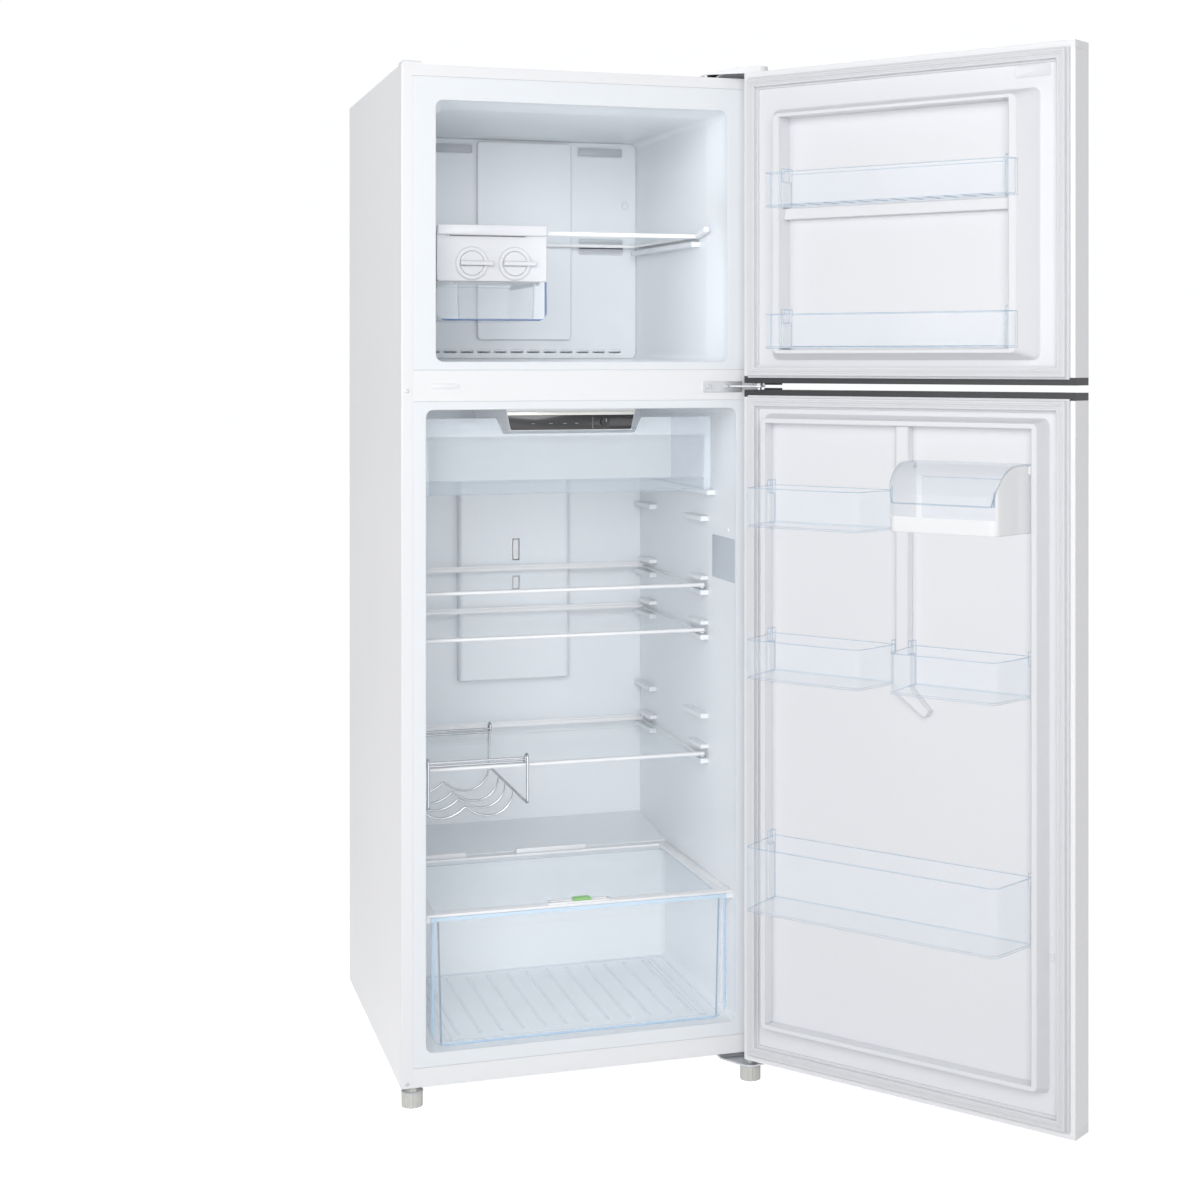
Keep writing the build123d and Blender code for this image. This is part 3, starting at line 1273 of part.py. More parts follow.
with BuildPart() as compressor:
    edge = COMPRESSOR_X + COMPRESSOR_RADIUS
    toe = (edge - TOE_RADIUS, COMPRESSOR_LOW)
    side = (edge, COMPRESSOR_LOW + TOE_RADIUS)
    shoulder = (edge, COMPRESSOR_TOP - DOME_RADIUS)
    crown = (edge - DOME_RADIUS, COMPRESSOR_TOP)
    with BuildSketch(facing(COMPRESSOR_Y)):
        with BuildLine():
            Line((COMPRESSOR_X, COMPRESSOR_LOW), toe)
            RadiusArc(toe, side, -TOE_RADIUS)
            Polyline(
                side,
                (edge, WELD_LOW),
                (edge + WELD_PROUD, WELD_LOW),
                (edge + WELD_PROUD, WELD_LOW + WELD_TALL),
                (edge, WELD_LOW + WELD_TALL),
                shoulder,
            )
            RadiusArc(shoulder, crown, -DOME_RADIUS)
            Polyline(crown, (COMPRESSOR_X, COMPRESSOR_TOP), (COMPRESSOR_X, COMPRESSOR_LOW))
        make_face()
    revolve(axis=Axis((COMPRESSOR_X, COMPRESSOR_Y, 0), (0, 0, 1)))
    with BuildSketch(Plane.XY.offset(COMPRESSOR_LOW - PLATE)):
        with Locations((COMPRESSOR_X, COMPRESSOR_Y)):
            RectangleRounded(*FOOT_PLATE)
    extrude(amount=PLATE)
    with BuildSketch(Plane.XY.offset(TRAY_TOP)):
        with Locations((COMPRESSOR_X, COMPRESSOR_Y)):
            with GridLocations(*GROMMET_PITCH, 2, 2):
                Circle(GROMMET_RADIUS)
    extrude(amount=COMPRESSOR_LOW - PLATE - TRAY_TOP)
save(compressor, "compressor")

with BuildPart() as drain_pan:
    reach = COMPRESSOR_RADIUS
    add(
        moulded_tub(
            COMPRESSOR_X - reach,
            COMPRESSOR_X + reach,
            COMPRESSOR_Y - reach,
            COMPRESSOR_Y + reach,
            COMPRESSOR_TOP,
            COMPRESSOR_TOP + PAN_TALL,
            2.0,
            12.0,
            4.0,
        )
    )
save(drain_pan, "drain_pan")

LOUVRES = (8, 3)
with BuildPart() as compressor_cover:
    with BuildSketch(facing(DEPTH - 2 * SHEET)):
        bounded(SHELL_RADIUS, WIDTH - SHELL_RADIUS, TRAY_LEVEL, BAY_HIGH - FIT)
        with Locations((WIDTH / 2, (TRAY_LEVEL + BAY_HIGH) / 2)):
            with GridLocations(62, 34, *LOUVRES):
                SlotOverall(46, 7, mode=Mode.SUBTRACT)
    extrude(amount=-SHEET)
save(compressor_cover, "compressor_cover")

PIPE_RADIUS = 3.2
PIPE_BEND = 12.0
DRIER_RADIUS = 9.0
DRIER_X = WIDTH - 150
DRIER_Y = COMPRESSOR_Y + 43
DRIER_SPAN = (92.0, 178.0)
side_wall = WIDTH - SHELL_RADIUS - FIT
ceiling = BAY_HIGH - SHEET - FIT
discharge_x, discharge_y = COMPRESSOR_X + 60, COMPRESSOR_Y - 22
suction_x, suction_y = COMPRESSOR_X + 60, COMPRESSOR_Y + 23
PIPE_ROUTES = (
    (
        (discharge_x, discharge_y, 150),
        (discharge_x + 75, discharge_y, 150),
        (discharge_x + 75, discharge_y, 40),
        (side_wall, discharge_y, 40),
    ),
    ((suction_x, suction_y, 100), (suction_x + 95, suction_y, 100), (suction_x + 95, suction_y, ceiling)),
    ((side_wall, DRIER_Y, 70), (DRIER_X, DRIER_Y, 70), (DRIER_X, DRIER_Y, 95)),
    (
        (DRIER_X, DRIER_Y, 175),
        (DRIER_X, DRIER_Y, 202),
        (DRIER_X - 50, DRIER_Y, 202),
        (DRIER_X - 50, DRIER_Y, ceiling),
    ),
)
with BuildPart() as refrigerant_pipes:
    upright(DRIER_X, DRIER_Y, *DRIER_SPAN, DRIER_RADIUS)
    chamfer(edges().filter_by(GeomType.CIRCLE), DRIER_RADIUS / 2)
    for route in PIPE_ROUTES:
        with BuildLine() as pipe:
            FilletPolyline(*route, radius=PIPE_BEND)
        with BuildSketch(Plane(origin=pipe.line @ 0, z_dir=pipe.line % 0)):
            Circle(PIPE_RADIUS)
        sweep(path=pipe.line)
    add(compressor.part, mode=Mode.SUBTRACT)
save(refrigerant_pipes, "refrigerant_pipes")

# Freezer shelf and the ice maker that hangs under its left end

FREEZER_SHELF_FRONT = 100.0
FREEZER_SHELF_BACK = COIL_COVER - 10
SHELF_SIDE_GAP = 2.0
ARM_FRONT = 48.0
ARM_WIDTH = 9.0
ARM_RISE = (5.0, 12.0)

shelf_corner_front = wall_inset(FREEZER_STATIONS, FREEZER_SHELF_FRONT) + SHELF_SIDE_GAP
shelf_corner_back = wall_inset(FREEZER_STATIONS, FREEZER_SHELF_BACK) + SHELF_SIDE_GAP


def freezer_shelf_layer(low, high, inset, mode=Mode.ADD):
    """A layer of the freezer shelf, whose sides follow the room's draft."""
    with BuildSketch(Plane.XY.offset(low)) as layer:
        Polygon(
            (shelf_corner_front, FREEZER_SHELF_FRONT),
            (WIDTH - shelf_corner_front, FREEZER_SHELF_FRONT),
            (WIDTH - shelf_corner_back, FREEZER_SHELF_BACK),
            (shelf_corner_back, FREEZER_SHELF_BACK),
            align=None,
        )
        if inset:
            offset(amount=-inset, kind=Kind.INTERSECTION)
    extrude(layer.sketch, amount=high - low, mode=mode)


with BuildPart() as freezer_shelf:
    glass_low = FREEZER_SHELF_TOP - GLASS
    upper = FREEZER_SHELF_TOP + TRIM_RISE
    freezer_shelf_layer(FREEZER_SHELF_UNDER, upper, 0)
    freezer_shelf_layer(FREEZER_SHELF_UNDER, glass_low, SIDE_RAIL, Mode.SUBTRACT)
    freezer_shelf_layer(glass_low, upper, GLASS, Mode.SUBTRACT)
    with BuildSketch(Plane.YZ.offset(WIDTH - shelf_corner_front - ARM_WIDTH)):
        low, high = ARM_RISE
        Polygon(
            (FREEZER_SHELF_FRONT, FREEZER_SHELF_UNDER),
            (FREEZER_SHELF_FRONT, upper),
            (ARM_FRONT, FREEZER_SHELF_TOP + high),
            (ARM_FRONT, FREEZER_SHELF_TOP + low),
            align=None,
        )
    extrude(amount=ARM_WIDTH)
    freezer_shelf_layer(glass_low, FREEZER_SHELF_TOP, GLASS + BEARING)
save(freezer_shelf, "freezer_shelf")

ICE_LEFT = 72.0
ICE_RIGHT = 256.0
ICE_FRONT = 86.0
ICE_FASCIA = 4.0
ICE_TOP = FREEZER_SHELF_TOP + 10
ICE_LOW = FREEZER_SHELF_TOP - 83.5
ICE_SIDES = (96.5, 246.0)
ICE_BACK = 315.0
ICE_WALL = 2.5
ICE_LIP = 3.0
ICE_LIP_LOW = FREEZER_SHELF_TOP - 90
TRAY_AXES = (130.0, 202.0)
TRAY_AXIS_Z = FREEZER_SHELF_TOP - 54
TRAY_RIM = (25.0, 8.0)
TRAY_FLOOR = (18.0, -18.0)
TRAY_FRONT = 94.0
TRAY_BACK = 300.0
TRAY_FLOOR_WALL = 2.0
CUBES = (2, 7)
CUBE_PITCH = (23.5, 29.0)
CUBE = (20.0, 26.0)
CUBE_DRAFT = 14.0
TRAY_KNOB = 20.0
KNOB_RING = 27.0
RING_PROUD = 3.0
KNOB_DEEP = 9.0
GRIP_BAR = (8.0, 7.0)
POINTER = 35.0
TRAY_PIN = 3.0

with BuildPart() as ice_maker_housing:
    with BuildSketch(facing(ICE_FRONT)):
        bounded(ICE_LEFT, ICE_RIGHT, ICE_LOW, ICE_TOP, 5)
    extrude(amount=-ICE_FASCIA)
    left, right = ICE_SIDES
    inside_left, inside_right = left + ICE_WALL, right - ICE_WALL
    back, roof = ICE_FRONT + ICE_FASCIA, FREEZER_SHELF_UNDER
    block(left, right, back, ICE_BACK, ICE_LIP_LOW, roof)
    block(inside_left, inside_right, back, ICE_BACK - ICE_WALL, 0, roof - ICE_WALL, Mode.SUBTRACT)
    block(inside_left, inside_right, back, ICE_BACK, 0, ICE_LOW + ICE_WALL, Mode.SUBTRACT)
    for lip in (inside_left, inside_right - ICE_LIP):
        block(lip, lip + ICE_LIP, back, ICE_BACK, ICE_LIP_LOW, ICE_LIP_LOW + 2)
    for x in TRAY_AXES:
        endways(x, TRAY_AXIS_Z, ICE_FRONT - RING_PROUD, ICE_FRONT, KNOB_RING)
        endways(x, TRAY_AXIS_Z, ICE_FRONT - RING_PROUD, back, TRAY_KNOB + FIT, Mode.SUBTRACT)
        endways(x, TRAY_AXIS_Z, ICE_BACK - ICE_WALL, ICE_BACK, TRAY_PIN + BEARING, Mode.SUBTRACT)
save(ice_maker_housing, "ice_maker_housing")


def ice_tray(x):
    """A twist tray with two rows of cubes and its pin behind, then its knob and the knob's bar."""
    rim_x, rim_z = TRAY_RIM
    floor_x, floor_z = TRAY_FLOOR
    bar_deep, bar_tall = GRIP_BAR
    front = ICE_FRONT - RING_PROUD - FIT
    with BuildPart() as tray:
        with BuildSketch(facing(TRAY_FRONT)):
            Polygon(
                (x - rim_x, TRAY_AXIS_Z + rim_z),
                (x - floor_x, TRAY_AXIS_Z + floor_z),
                (x + floor_x, TRAY_AXIS_Z + floor_z),
                (x + rim_x, TRAY_AXIS_Z + rim_z),
                align=None,
            )
        extrude(amount=TRAY_FRONT - TRAY_BACK)
        with BuildSketch(Plane.XY.offset(TRAY_AXIS_Z + rim_z)):
            with Locations((x, (TRAY_FRONT + TRAY_BACK) / 2)):
                with GridLocations(*CUBE_PITCH, *CUBES):
                    Rectangle(*CUBE)
        extrude(amount=floor_z + TRAY_FLOOR_WALL - rim_z, taper=CUBE_DRAFT, mode=Mode.SUBTRACT)
        endways(x, TRAY_AXIS_Z, front, front + KNOB_DEEP, TRAY_KNOB)
        endways(x, TRAY_AXIS_Z, front, TRAY_FRONT, TRAY_KNOB / 2)
        block(
            x - TRAY_KNOB,
            x + POINTER,
            front - bar_deep,
            front,
            TRAY_AXIS_Z - bar_tall / 2,
            TRAY_AXIS_Z + bar_tall / 2,
        )
        endways(x, TRAY_AXIS_Z, TRAY_BACK, ICE_BACK, TRAY_PIN)
        for parting in (front, TRAY_FRONT):
            split(bisect_by=facing(parting), keep=Keep.BOTH)
    return tray


save(ice_tray(TRAY_AXES[0]), "ice_tray_left")
save(ice_tray(TRAY_AXES[1]), "ice_tray_right")

BIN_LOW = FREEZER_SHELF_TOP - 148.4
BIN_BACK = 308.0
BIN_SHELL = 2.0
BIN_RECESS = (105.0, 228.0, 3.0, 40.0)
RECESS_DEEP = 2.2
FRONT_CORNER = 15.0

with BuildPart() as ice_bin:
    left = ICE_SIDES[0] + ICE_WALL + ICE_LIP + 2 * FIT
    right = ICE_SIDES[1] - ICE_WALL - ICE_LIP - 2 * FIT
    front = ICE_FRONT + ICE_FASCIA
    rim = ICE_LIP_LOW + 2 + FIT
    add(moulded_tub(left, right, front, BIN_BACK, BIN_LOW + 1, rim + BIN_SHELL, BIN_SHELL, 6.0, 2.0))
    for inner, outer in ((left + BIN_SHELL, left - ICE_LIP), (right - BIN_SHELL, right + ICE_LIP)):
        block(min(inner, outer), max(inner, outer), front, BIN_BACK - 6, rim, rim + BIN_SHELL)
    with BuildSketch(facing(ICE_FRONT)):
        bounded(ICE_LEFT, ICE_RIGHT, BIN_LOW, ICE_LOW - FIT)
        fillet(vertices().sort_by(Axis.Y)[:2], FRONT_CORNER)
    extrude(amount=-ICE_FASCIA)
    with BuildSketch(facing(ICE_FRONT)):
        near, far, low, high = BIN_RECESS
        bounded(near, far, BIN_LOW + low, BIN_LOW + high, 8)
    extrude(amount=-RECESS_DEEP, mode=Mode.SUBTRACT)
save(ice_bin, "ice_bin")

# Fridge shelves: a glass pane in a frame of rails and trims

WINE_GLASS_BACK = SHELF_BACK - 86
SHELF_STOP = 8.0


def fridge_shelf(top, glass_back):
    """A glass shelf, with an open gap behind the pane where glass_back is short of the rear trim."""
    left, right = SHELF_INSET, WIDTH - SHELF_INSET
    under = top - SHELF_THICK
    seat = top - GLASS
    pane_left, pane_right = left + GLASS_EDGE, right - GLASS_EDGE
    pane_front = SHELF_FRONT + GLASS
    with BuildPart() as shelf:
        block(left, right, SHELF_FRONT, SHELF_FRONT + TRIM_DEPTH, top - TRIM_DROP, top + TRIM_RISE)
        fillet(edges().filter_by(Axis.X).sort_by(Axis.Y)[:2], 3)
        block(left, right, SHELF_BACK - TRIM_DEPTH, SHELF_BACK, under, top)
        stop_left = left + LEDGE_REACH
        block(stop_left, WIDTH - stop_left, SHELF_BACK - GLASS, SHELF_BACK, top, top + SHELF_STOP)
        for x in (left, right - SIDE_RAIL):
            block(x, x + SIDE_RAIL, pane_front, SHELF_BACK, under, seat)
        block(left, right, glass_back - SIDE_RAIL, glass_back + GLASS, under, seat)
        block(pane_left, pane_right, pane_front, glass_back, seat, top, Mode.SUBTRACT)
        block(
            pane_left + BEARING,
            pane_right - BEARING,
            pane_front + BEARING,
            glass_back - BEARING,
            seat,
            top,
        )
    return shelf


save(fridge_shelf(SHELF_TOPS[2], SHELF_BACK - GLASS), "fridge_shelf_upper")
save(fridge_shelf(SHELF_TOPS[1], SHELF_BACK - GLASS), "fridge_shelf_middle")
save(fridge_shelf(SHELF_TOPS[0], WINE_GLASS_BACK), "fridge_shelf_lower")

# Wine rack: two hanging frames joined by straight bars and by waves that cradle the bottles

RACK_LEFT = 66.0
RACK_RIGHT = 234.0
RACK_CRADLES = 2
RACK_WIRE = 2.5
RACK_BAR = 2.0
WAVE_WIRE = 1.8
WAVE_CREST = 5.0
WAVE_RISE = 17.0
WAVE_DEPTHS = (245.0, 310.0, 370.0)
RACK_DROP = 63.0
RACK_STANDOFF = 7.0
HOOK = 13.0
HOOK_BEND = 6.0
HOOK_TOP = SHELF_TOPS[0] + 17.5
RACK_LOW = SHELF_TOPS[0] - RACK_DROP
RACK_FRONT = SHELF_FRONT - RACK_STANDOFF
RACK_BACK = WINE_GLASS_BACK + GLASS + RACK_STANDOFF
FRONT_BAR = SHELF_TOPS[0] + TRIM_RISE + FIT + RACK_BAR
REAR_BAR = SHELF_TOPS[0] + FIT + RACK_BAR

with BuildPart() as wine_rack:
    for x in (RACK_LEFT, RACK_RIGHT):
        with BuildLine(Plane.YZ.offset(x)) as frame:
            FilletPolyline(
                (RACK_FRONT + HOOK, FRONT_BAR),
                (RACK_FRONT + HOOK, HOOK_TOP),
                (RACK_FRONT, HOOK_TOP),
                (RACK_FRONT, RACK_LOW),
                (RACK_BACK, RACK_LOW),
                (RACK_BACK, HOOK_TOP),
                (RACK_BACK - HOOK, HOOK_TOP),
                (RACK_BACK - HOOK, REAR_BAR),
                radius=HOOK_BEND,
            )
        with BuildSketch(Plane(origin=frame.line @ 0, z_dir=frame.line % 0)):
            Circle(RACK_WIRE)
        sweep(path=frame.line)
    for y, z in ((RACK_FRONT + HOOK, FRONT_BAR), (RACK_BACK - HOOK, REAR_BAR)):
        crossways(RACK_LEFT, RACK_RIGHT, y, z, RACK_BAR)
        crossways(RACK_LEFT, RACK_RIGHT, y, z + 3 * RACK_BAR, RACK_BAR)
    half = (RACK_RIGHT - RACK_LEFT) / (2 * RACK_CRADLES)
    trough = RACK_LOW - half
    rise = WAVE_RISE - WAVE_CREST
    dip = (half**2 + rise**2 - WAVE_CREST**2) / (2 * (WAVE_CREST + rise))
    lean = degrees(acos((dip - rise) / (dip + WAVE_CREST)))
    for y in (*WAVE_DEPTHS, RACK_BACK):
        with BuildLine(facing(y)) as wave:
            centre = RACK_RIGHT - half
            CenterArc((centre, RACK_LOW), half, 0, -90)
            for index in range(RACK_CRADLES - 1):
                CenterArc((centre, trough + dip), dip, -90, -lean)
                CenterArc((centre - half, trough + rise), WAVE_CREST, 90 - lean, 2 * lean)
                centre = centre - 2 * half
                CenterArc((centre, trough + dip), dip, -90 + lean, -lean)
            CenterArc((centre, RACK_LOW), half, -90, -90)
        with BuildSketch(Plane(origin=wave.line @ 0, z_dir=wave.line % 0)):
            Circle(WAVE_WIRE)
        sweep(path=wave.line)
save(wine_rack, "wine_rack")

# Chiller drawer under the control box

CHILLER_INSET = 51.0
CHILLER_TALL = 96.0
CHILLER_FACE_TALL = 127.0
CHILLER_FACE = 3.0
CHILLER_WALL = 2.5
NOTCH_DEPTH = 26.0
NOTCH_MARGIN = 9.0
NOTCH_SLANT = 12.0
PULL_LIP = (4.0, 20.0)

with BuildPart() as chiller_drawer:
    side = CHILLER_INSET + 2
    rim = CHILLER_LOW + CHILLER_TALL
    top = CHILLER_LOW + CHILLER_FACE_TALL
    front = CHILLER_FRONT + CHILLER_FACE
    add(moulded_tub(side, WIDTH - side, front, CHILLER_BACK, CHILLER_LOW, rim, CHILLER_WALL, 10.0, 3.0))
    with BuildSketch(facing(CHILLER_FRONT)):
        left, right = CONTROL_LEFT - NOTCH_MARGIN, CONTROL_RIGHT + NOTCH_MARGIN
        bounded(CHILLER_INSET, WIDTH - CHILLER_INSET, CHILLER_LOW, top)
        fillet(vertices().sort_by(Axis.Y)[:2], 8)
        Polygon(
            (left - NOTCH_SLANT, top),
            (left, top - NOTCH_DEPTH),
            (right, top - NOTCH_DEPTH),
            (right + NOTCH_SLANT, top),
            align=None,
            mode=Mode.SUBTRACT,
        )
    extrude(amount=-CHILLER_FACE)
    lip_deep, lip_tall = PULL_LIP
    end = CHILLER_INSET + 8
    block(end, WIDTH - end, CHILLER_FRONT - lip_deep, CHILLER_FRONT, CHILLER_LOW, CHILLER_LOW + lip_tall)
    split(bisect_by=facing(front), keep=Keep.BOTH)
save(chiller_drawer, "chiller_drawer")

# Crisper: glass cover with its humidity slider, and the drawer under it

COVER_GAP = 0.6
COVER_THICK = 4.0
COVER_REAR = HUMP_FRONT - 5
COVER_UPPER = CRISPER_COVER_UNDER + COVER_THICK
COVER_STOPS = ((104.0, 178.0), (WIDTH / 2 - 30, WIDTH / 2 + 99))
COVER_STOP = (8.0, 7.0)
TRACK = (WIDTH / 2 - 55, WIDTH / 2 + 50, CRISPER_FRONT + 4, CRISPER_FRONT + 22)
TRACK_TALL = 2.5
TRACK_FLOOR = 0.5
TRACK_WALL = 5.0
SLIDER_AT = WIDTH / 2 + 3
SLIDER_HALF = 15.0
SLIDER_TALL = 4.0

with BuildPart() as crisper_cover:
    near = wall_inset(FRIDGE_STATIONS, CRISPER_FRONT) + COVER_GAP
    far = wall_inset(FRIDGE_STATIONS, COVER_REAR) + COVER_GAP
    with BuildSketch(Plane.XY.offset(CRISPER_COVER_UNDER)):
        Polygon(
            (near, CRISPER_FRONT),
            (WIDTH - near, CRISPER_FRONT),
            (WIDTH - far, COVER_REAR),
            (far, COVER_REAR),
            align=None,
        )
    extrude(amount=COVER_THICK)
    deep, tall = COVER_STOP
    for left, right in COVER_STOPS:
        block(left, right, COVER_REAR - deep, COVER_REAR, COVER_UPPER, COVER_UPPER + tall)
    left, right, front, back = TRACK
    block(left, right, front, back, COVER_UPPER, COVER_UPPER + TRACK_TALL)
    block(
        left + TRACK_WALL,
        right - TRACK_WALL,
        front + TRACK_WALL,
        back - TRACK_WALL,
        COVER_UPPER + TRACK_FLOOR,
        COVER_UPPER + TRACK_TALL,
        Mode.SUBTRACT,
    )
save(crisper_cover, "crisper_cover")

with BuildPart() as humidity_slider:
    left, right, front, back = TRACK
    under = COVER_UPPER + TRACK_TALL + FIT
    block(
        SLIDER_AT - SLIDER_HALF + 2,
        SLIDER_AT + SLIDER_HALF - 2,
        front + TRACK_WALL + FIT,
        back - TRACK_WALL - FIT,
        COVER_UPPER + TRACK_FLOOR + FIT,
        under,
    )
    block(SLIDER_AT - SLIDER_HALF, SLIDER_AT + SLIDER_HALF, front + 2, back - 2, under, under + SLIDER_TALL)
    crown = faces().sort_by(Axis.Z)[-1]
    chamfer(crown.edges().filter_by(Axis.Y), SLIDER_TALL / 2)
save(humidity_slider, "humidity_slider")

CRISPER_HIGH = CRISPER_COVER_UNDER - FIT
CRISPER_LOW = FRIDGE_LOW + 1.8
CRISPER_FACE = 3.5
CRISPER_WALL = 2.5
CRISPER_RIBS = 12
CRISPER_CORNER = 25.0
CRISPER_LIP = (2.0, 22.0)
RUNNER = (10.0, 2.4)

with BuildPart() as crisper_drawer:
    front = CRISPER_FRONT + CRISPER_FACE
    middle = (front + CRISPER_BACK) / 2
    side = CRISPER_INSET + 3
    runner_wide, runner_tall = RUNNER
    low = CRISPER_LOW + runner_tall
    high = CRISPER_HIGH - 7
    add(moulded_tub(side, WIDTH - side, front, CRISPER_BACK, low, high, CRISPER_WALL, 10.0, 5.0))
    with Locations((WIDTH / 2, middle, low + CRISPER_WALL + FLOOR_RIB / 2)):
        with GridLocations(36, 1, CRISPER_RIBS, 1):
            Box(4, CRISPER_BACK - front - 60, FLOOR_RIB)
    with Locations((WIDTH / 2, middle, CRISPER_LOW + runner_tall / 2)):
        with GridLocations(WIDTH - 2 * side - 60, 1, 2, 1):
            Box(runner_wide, CRISPER_BACK - front - 40, runner_tall)
    with BuildSketch(facing(CRISPER_FRONT)):
        bounded(CRISPER_INSET, WIDTH - CRISPER_INSET, CRISPER_LOW, CRISPER_HIGH)
        fillet(vertices().sort_by(Axis.Y)[:2], CRISPER_CORNER)
    extrude(amount=-CRISPER_FACE)
    deep, tall = CRISPER_LIP
    block(
        CRISPER_INSET,
        WIDTH - CRISPER_INSET,
        CRISPER_FRONT - deep,
        CRISPER_FRONT,
        CRISPER_HIGH - tall,
        CRISPER_HIGH,
    )
save(crisper_drawer, "crisper_drawer")
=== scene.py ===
import json
from math import pi, radians

import bmesh
import bpy
from bpy.props import FloatProperty, FloatVectorProperty, PointerProperty
from bpy.types import Operator, Panel, PropertyGroup
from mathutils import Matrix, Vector


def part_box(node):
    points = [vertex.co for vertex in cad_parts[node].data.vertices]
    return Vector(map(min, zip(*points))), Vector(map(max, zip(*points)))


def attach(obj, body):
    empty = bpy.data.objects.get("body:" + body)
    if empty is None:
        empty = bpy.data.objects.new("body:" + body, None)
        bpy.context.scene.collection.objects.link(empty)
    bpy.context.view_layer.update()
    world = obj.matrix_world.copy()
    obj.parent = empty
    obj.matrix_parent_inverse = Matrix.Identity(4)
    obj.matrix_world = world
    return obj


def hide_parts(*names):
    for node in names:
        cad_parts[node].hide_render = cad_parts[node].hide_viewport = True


bl_info = {
    "name": "Top Mount Refrigerator",
    "version": (1, 0, 0),
    "blender": (4, 5, 0),
    "location": "3D View > Sidebar > Refrigerator",
    "description": "Dresses the packed refrigerator with its glass, seals, trims and finishes",
    "category": "Object",
}

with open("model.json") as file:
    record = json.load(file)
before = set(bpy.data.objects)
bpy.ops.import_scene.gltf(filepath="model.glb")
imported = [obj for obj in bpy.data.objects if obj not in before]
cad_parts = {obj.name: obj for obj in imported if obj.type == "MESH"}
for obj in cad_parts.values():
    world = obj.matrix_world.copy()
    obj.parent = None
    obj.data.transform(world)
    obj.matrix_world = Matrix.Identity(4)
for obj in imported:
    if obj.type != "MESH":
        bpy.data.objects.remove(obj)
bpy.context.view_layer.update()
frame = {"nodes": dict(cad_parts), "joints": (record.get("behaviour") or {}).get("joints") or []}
HINGE = next(joint for joint in frame["joints"] if joint["name"] == "fridge_door_hinge")

# Millimetres from the cabinet's own lower left front corner, as place() takes them
WIDTH = 600.0
FREEZER_DOOR = (1119.6, 1631.5)
FRIDGE_DOOR = (3.5, 1108.6)
DOOR_IN = -12.0
SHELF_FRONT = 100.0
SHELF_TOP = 1371.0
RETURN_SLOTS = 12
RETURN_PITCH = 31.0
RETURN_TEETH = 4
TOOTH_PITCH = 5.6
SCREW_PLANE = 610.2
LAMP_PLANE = -4.0

# Metres and degrees in the shared frame
SOFT = 0.0006
FINE = 0.0002
HAIR = 0.0001
SMOOTH_ANGLE = radians(35)
CAMERA_SPOT = (-0.533345, -3.245801, 1.188046)
CAMERA_TURN = -17.924
CAMERA_SHIFT = (-0.1, -0.1992)
FLOOR_SIZE = 30

# Levels and light of the stage
FLOOR_GLOW = 0.80
SEEN_SKY = 1.03
ROOM_LIGHT = (0.93, 0.97, 1.0)


def colour_setting(name, description, default):
    """A colour that a user can change."""
    return FloatVectorProperty(
        name=name, description=description, default=default, subtype="COLOR", min=0, max=1
    )


def number(name, description, default, low, high, unit="NONE"):
    """A length in metres, or a level, that a user can change."""
    return FloatProperty(
        name=name, description=description, default=default, min=low, max=high, unit=unit
    )


class EnamelAndPlasticColours(PropertyGroup):
    """Colours of the opaque finishes."""

    enamel: colour_setting("Enamel", "Sprayed sheet steel", (0.87, 0.868, 0.888))
    liner: colour_setting("Liner", "Formed room and door liners", (0.85, 0.88, 0.912))
    door_liner: colour_setting("Door liner", "Formed liners of the doors", (0.79, 0.797, 0.825))
    moulding: colour_setting("Moulding", "White injection mouldings", (0.88, 0.885, 0.90))
    seal: colour_setting("Seal", "Soft door seals", (0.75, 0.755, 0.78))
    caps: colour_setting("Door caps", "Black caps with the grips", (0.012, 0.012, 0.014))
    slider: colour_setting("Slider", "Humidity slider", (0.30, 0.62, 0.20))


class ClearColours(PropertyGroup):
    """Colours and opacities of the clear plastics and the glass."""

    styrene: colour_setting("Styrene", "Faces of the clear mouldings", (0.80, 0.89, 0.98))
    styrene_edge: colour_setting("Styrene edge", "Edges of the clear mouldings", (0.34, 0.54, 0.80))
    styrene_alpha: number("Styrene opacity", "Opacity of a clear face, square on", 0.06, 0, 1)
    glass: colour_setting("Glass", "Shelf glass", (0.82, 0.90, 0.93))
    glass_alpha: number("Glass opacity", "Opacity of the glass, square on", 0.06, 0, 1)


class ShelfSizes(PropertyGroup):
    """Sizes of the glass shelves and their trims."""

    glass: number("Glass", "Thickness of a pane", 0.004, 0.003, 0.006, "LENGTH")
    trim_depth: number("Trim depth", "Front trim from front to back", 0.010, 0.006, 0.02, "LENGTH")
    trim_tall: number("Trim height", "Height of the front trim", 0.0062, 0.004, 0.02, "LENGTH")
    rail: number("Side rail", "Width of the rail under each side", 0.004, 0.002, 0.01, "LENGTH")


class SealSizes(PropertyGroup):
    """Sizes of the door seals."""

    outer: number("Outer inset", "From the door's edge to the seal", 0.009, 0.005, 0.02, "LENGTH")
    width: number("Width", "Width of the seal", 0.021, 0.015, 0.03, "LENGTH")
    groove: number("Groove", "Depth of the lines along the seal", 0.0007, 0.0, 0.002, "LENGTH")


class StudioSettings(PropertyGroup):
    """Light levels and the camera."""

    lens: number("Lens", "Focal length", 61.11, 20, 200, "CAMERA")
    key: number("Key lamp", "Power of the large front lamp", 92.0, 0, 500, "POWER")
    side: number("Side lamp", "Power of the lamp on the left", 37.0, 0, 500, "POWER")
    fill: number("Fill lamp", "Power of the lamp on the right", 10.0, 0, 500, "POWER")
    rooms: number("Room lamps", "Brightness of the lamps in the rooms", 0.36, 0, 4)
    sky: number("Sky", "Strength of the even light", 0.29, 0, 2)
    floor: colour_setting("Floor", "Floor colour", (0.80, 0.80, 0.80))


# Places, shapes and pieces


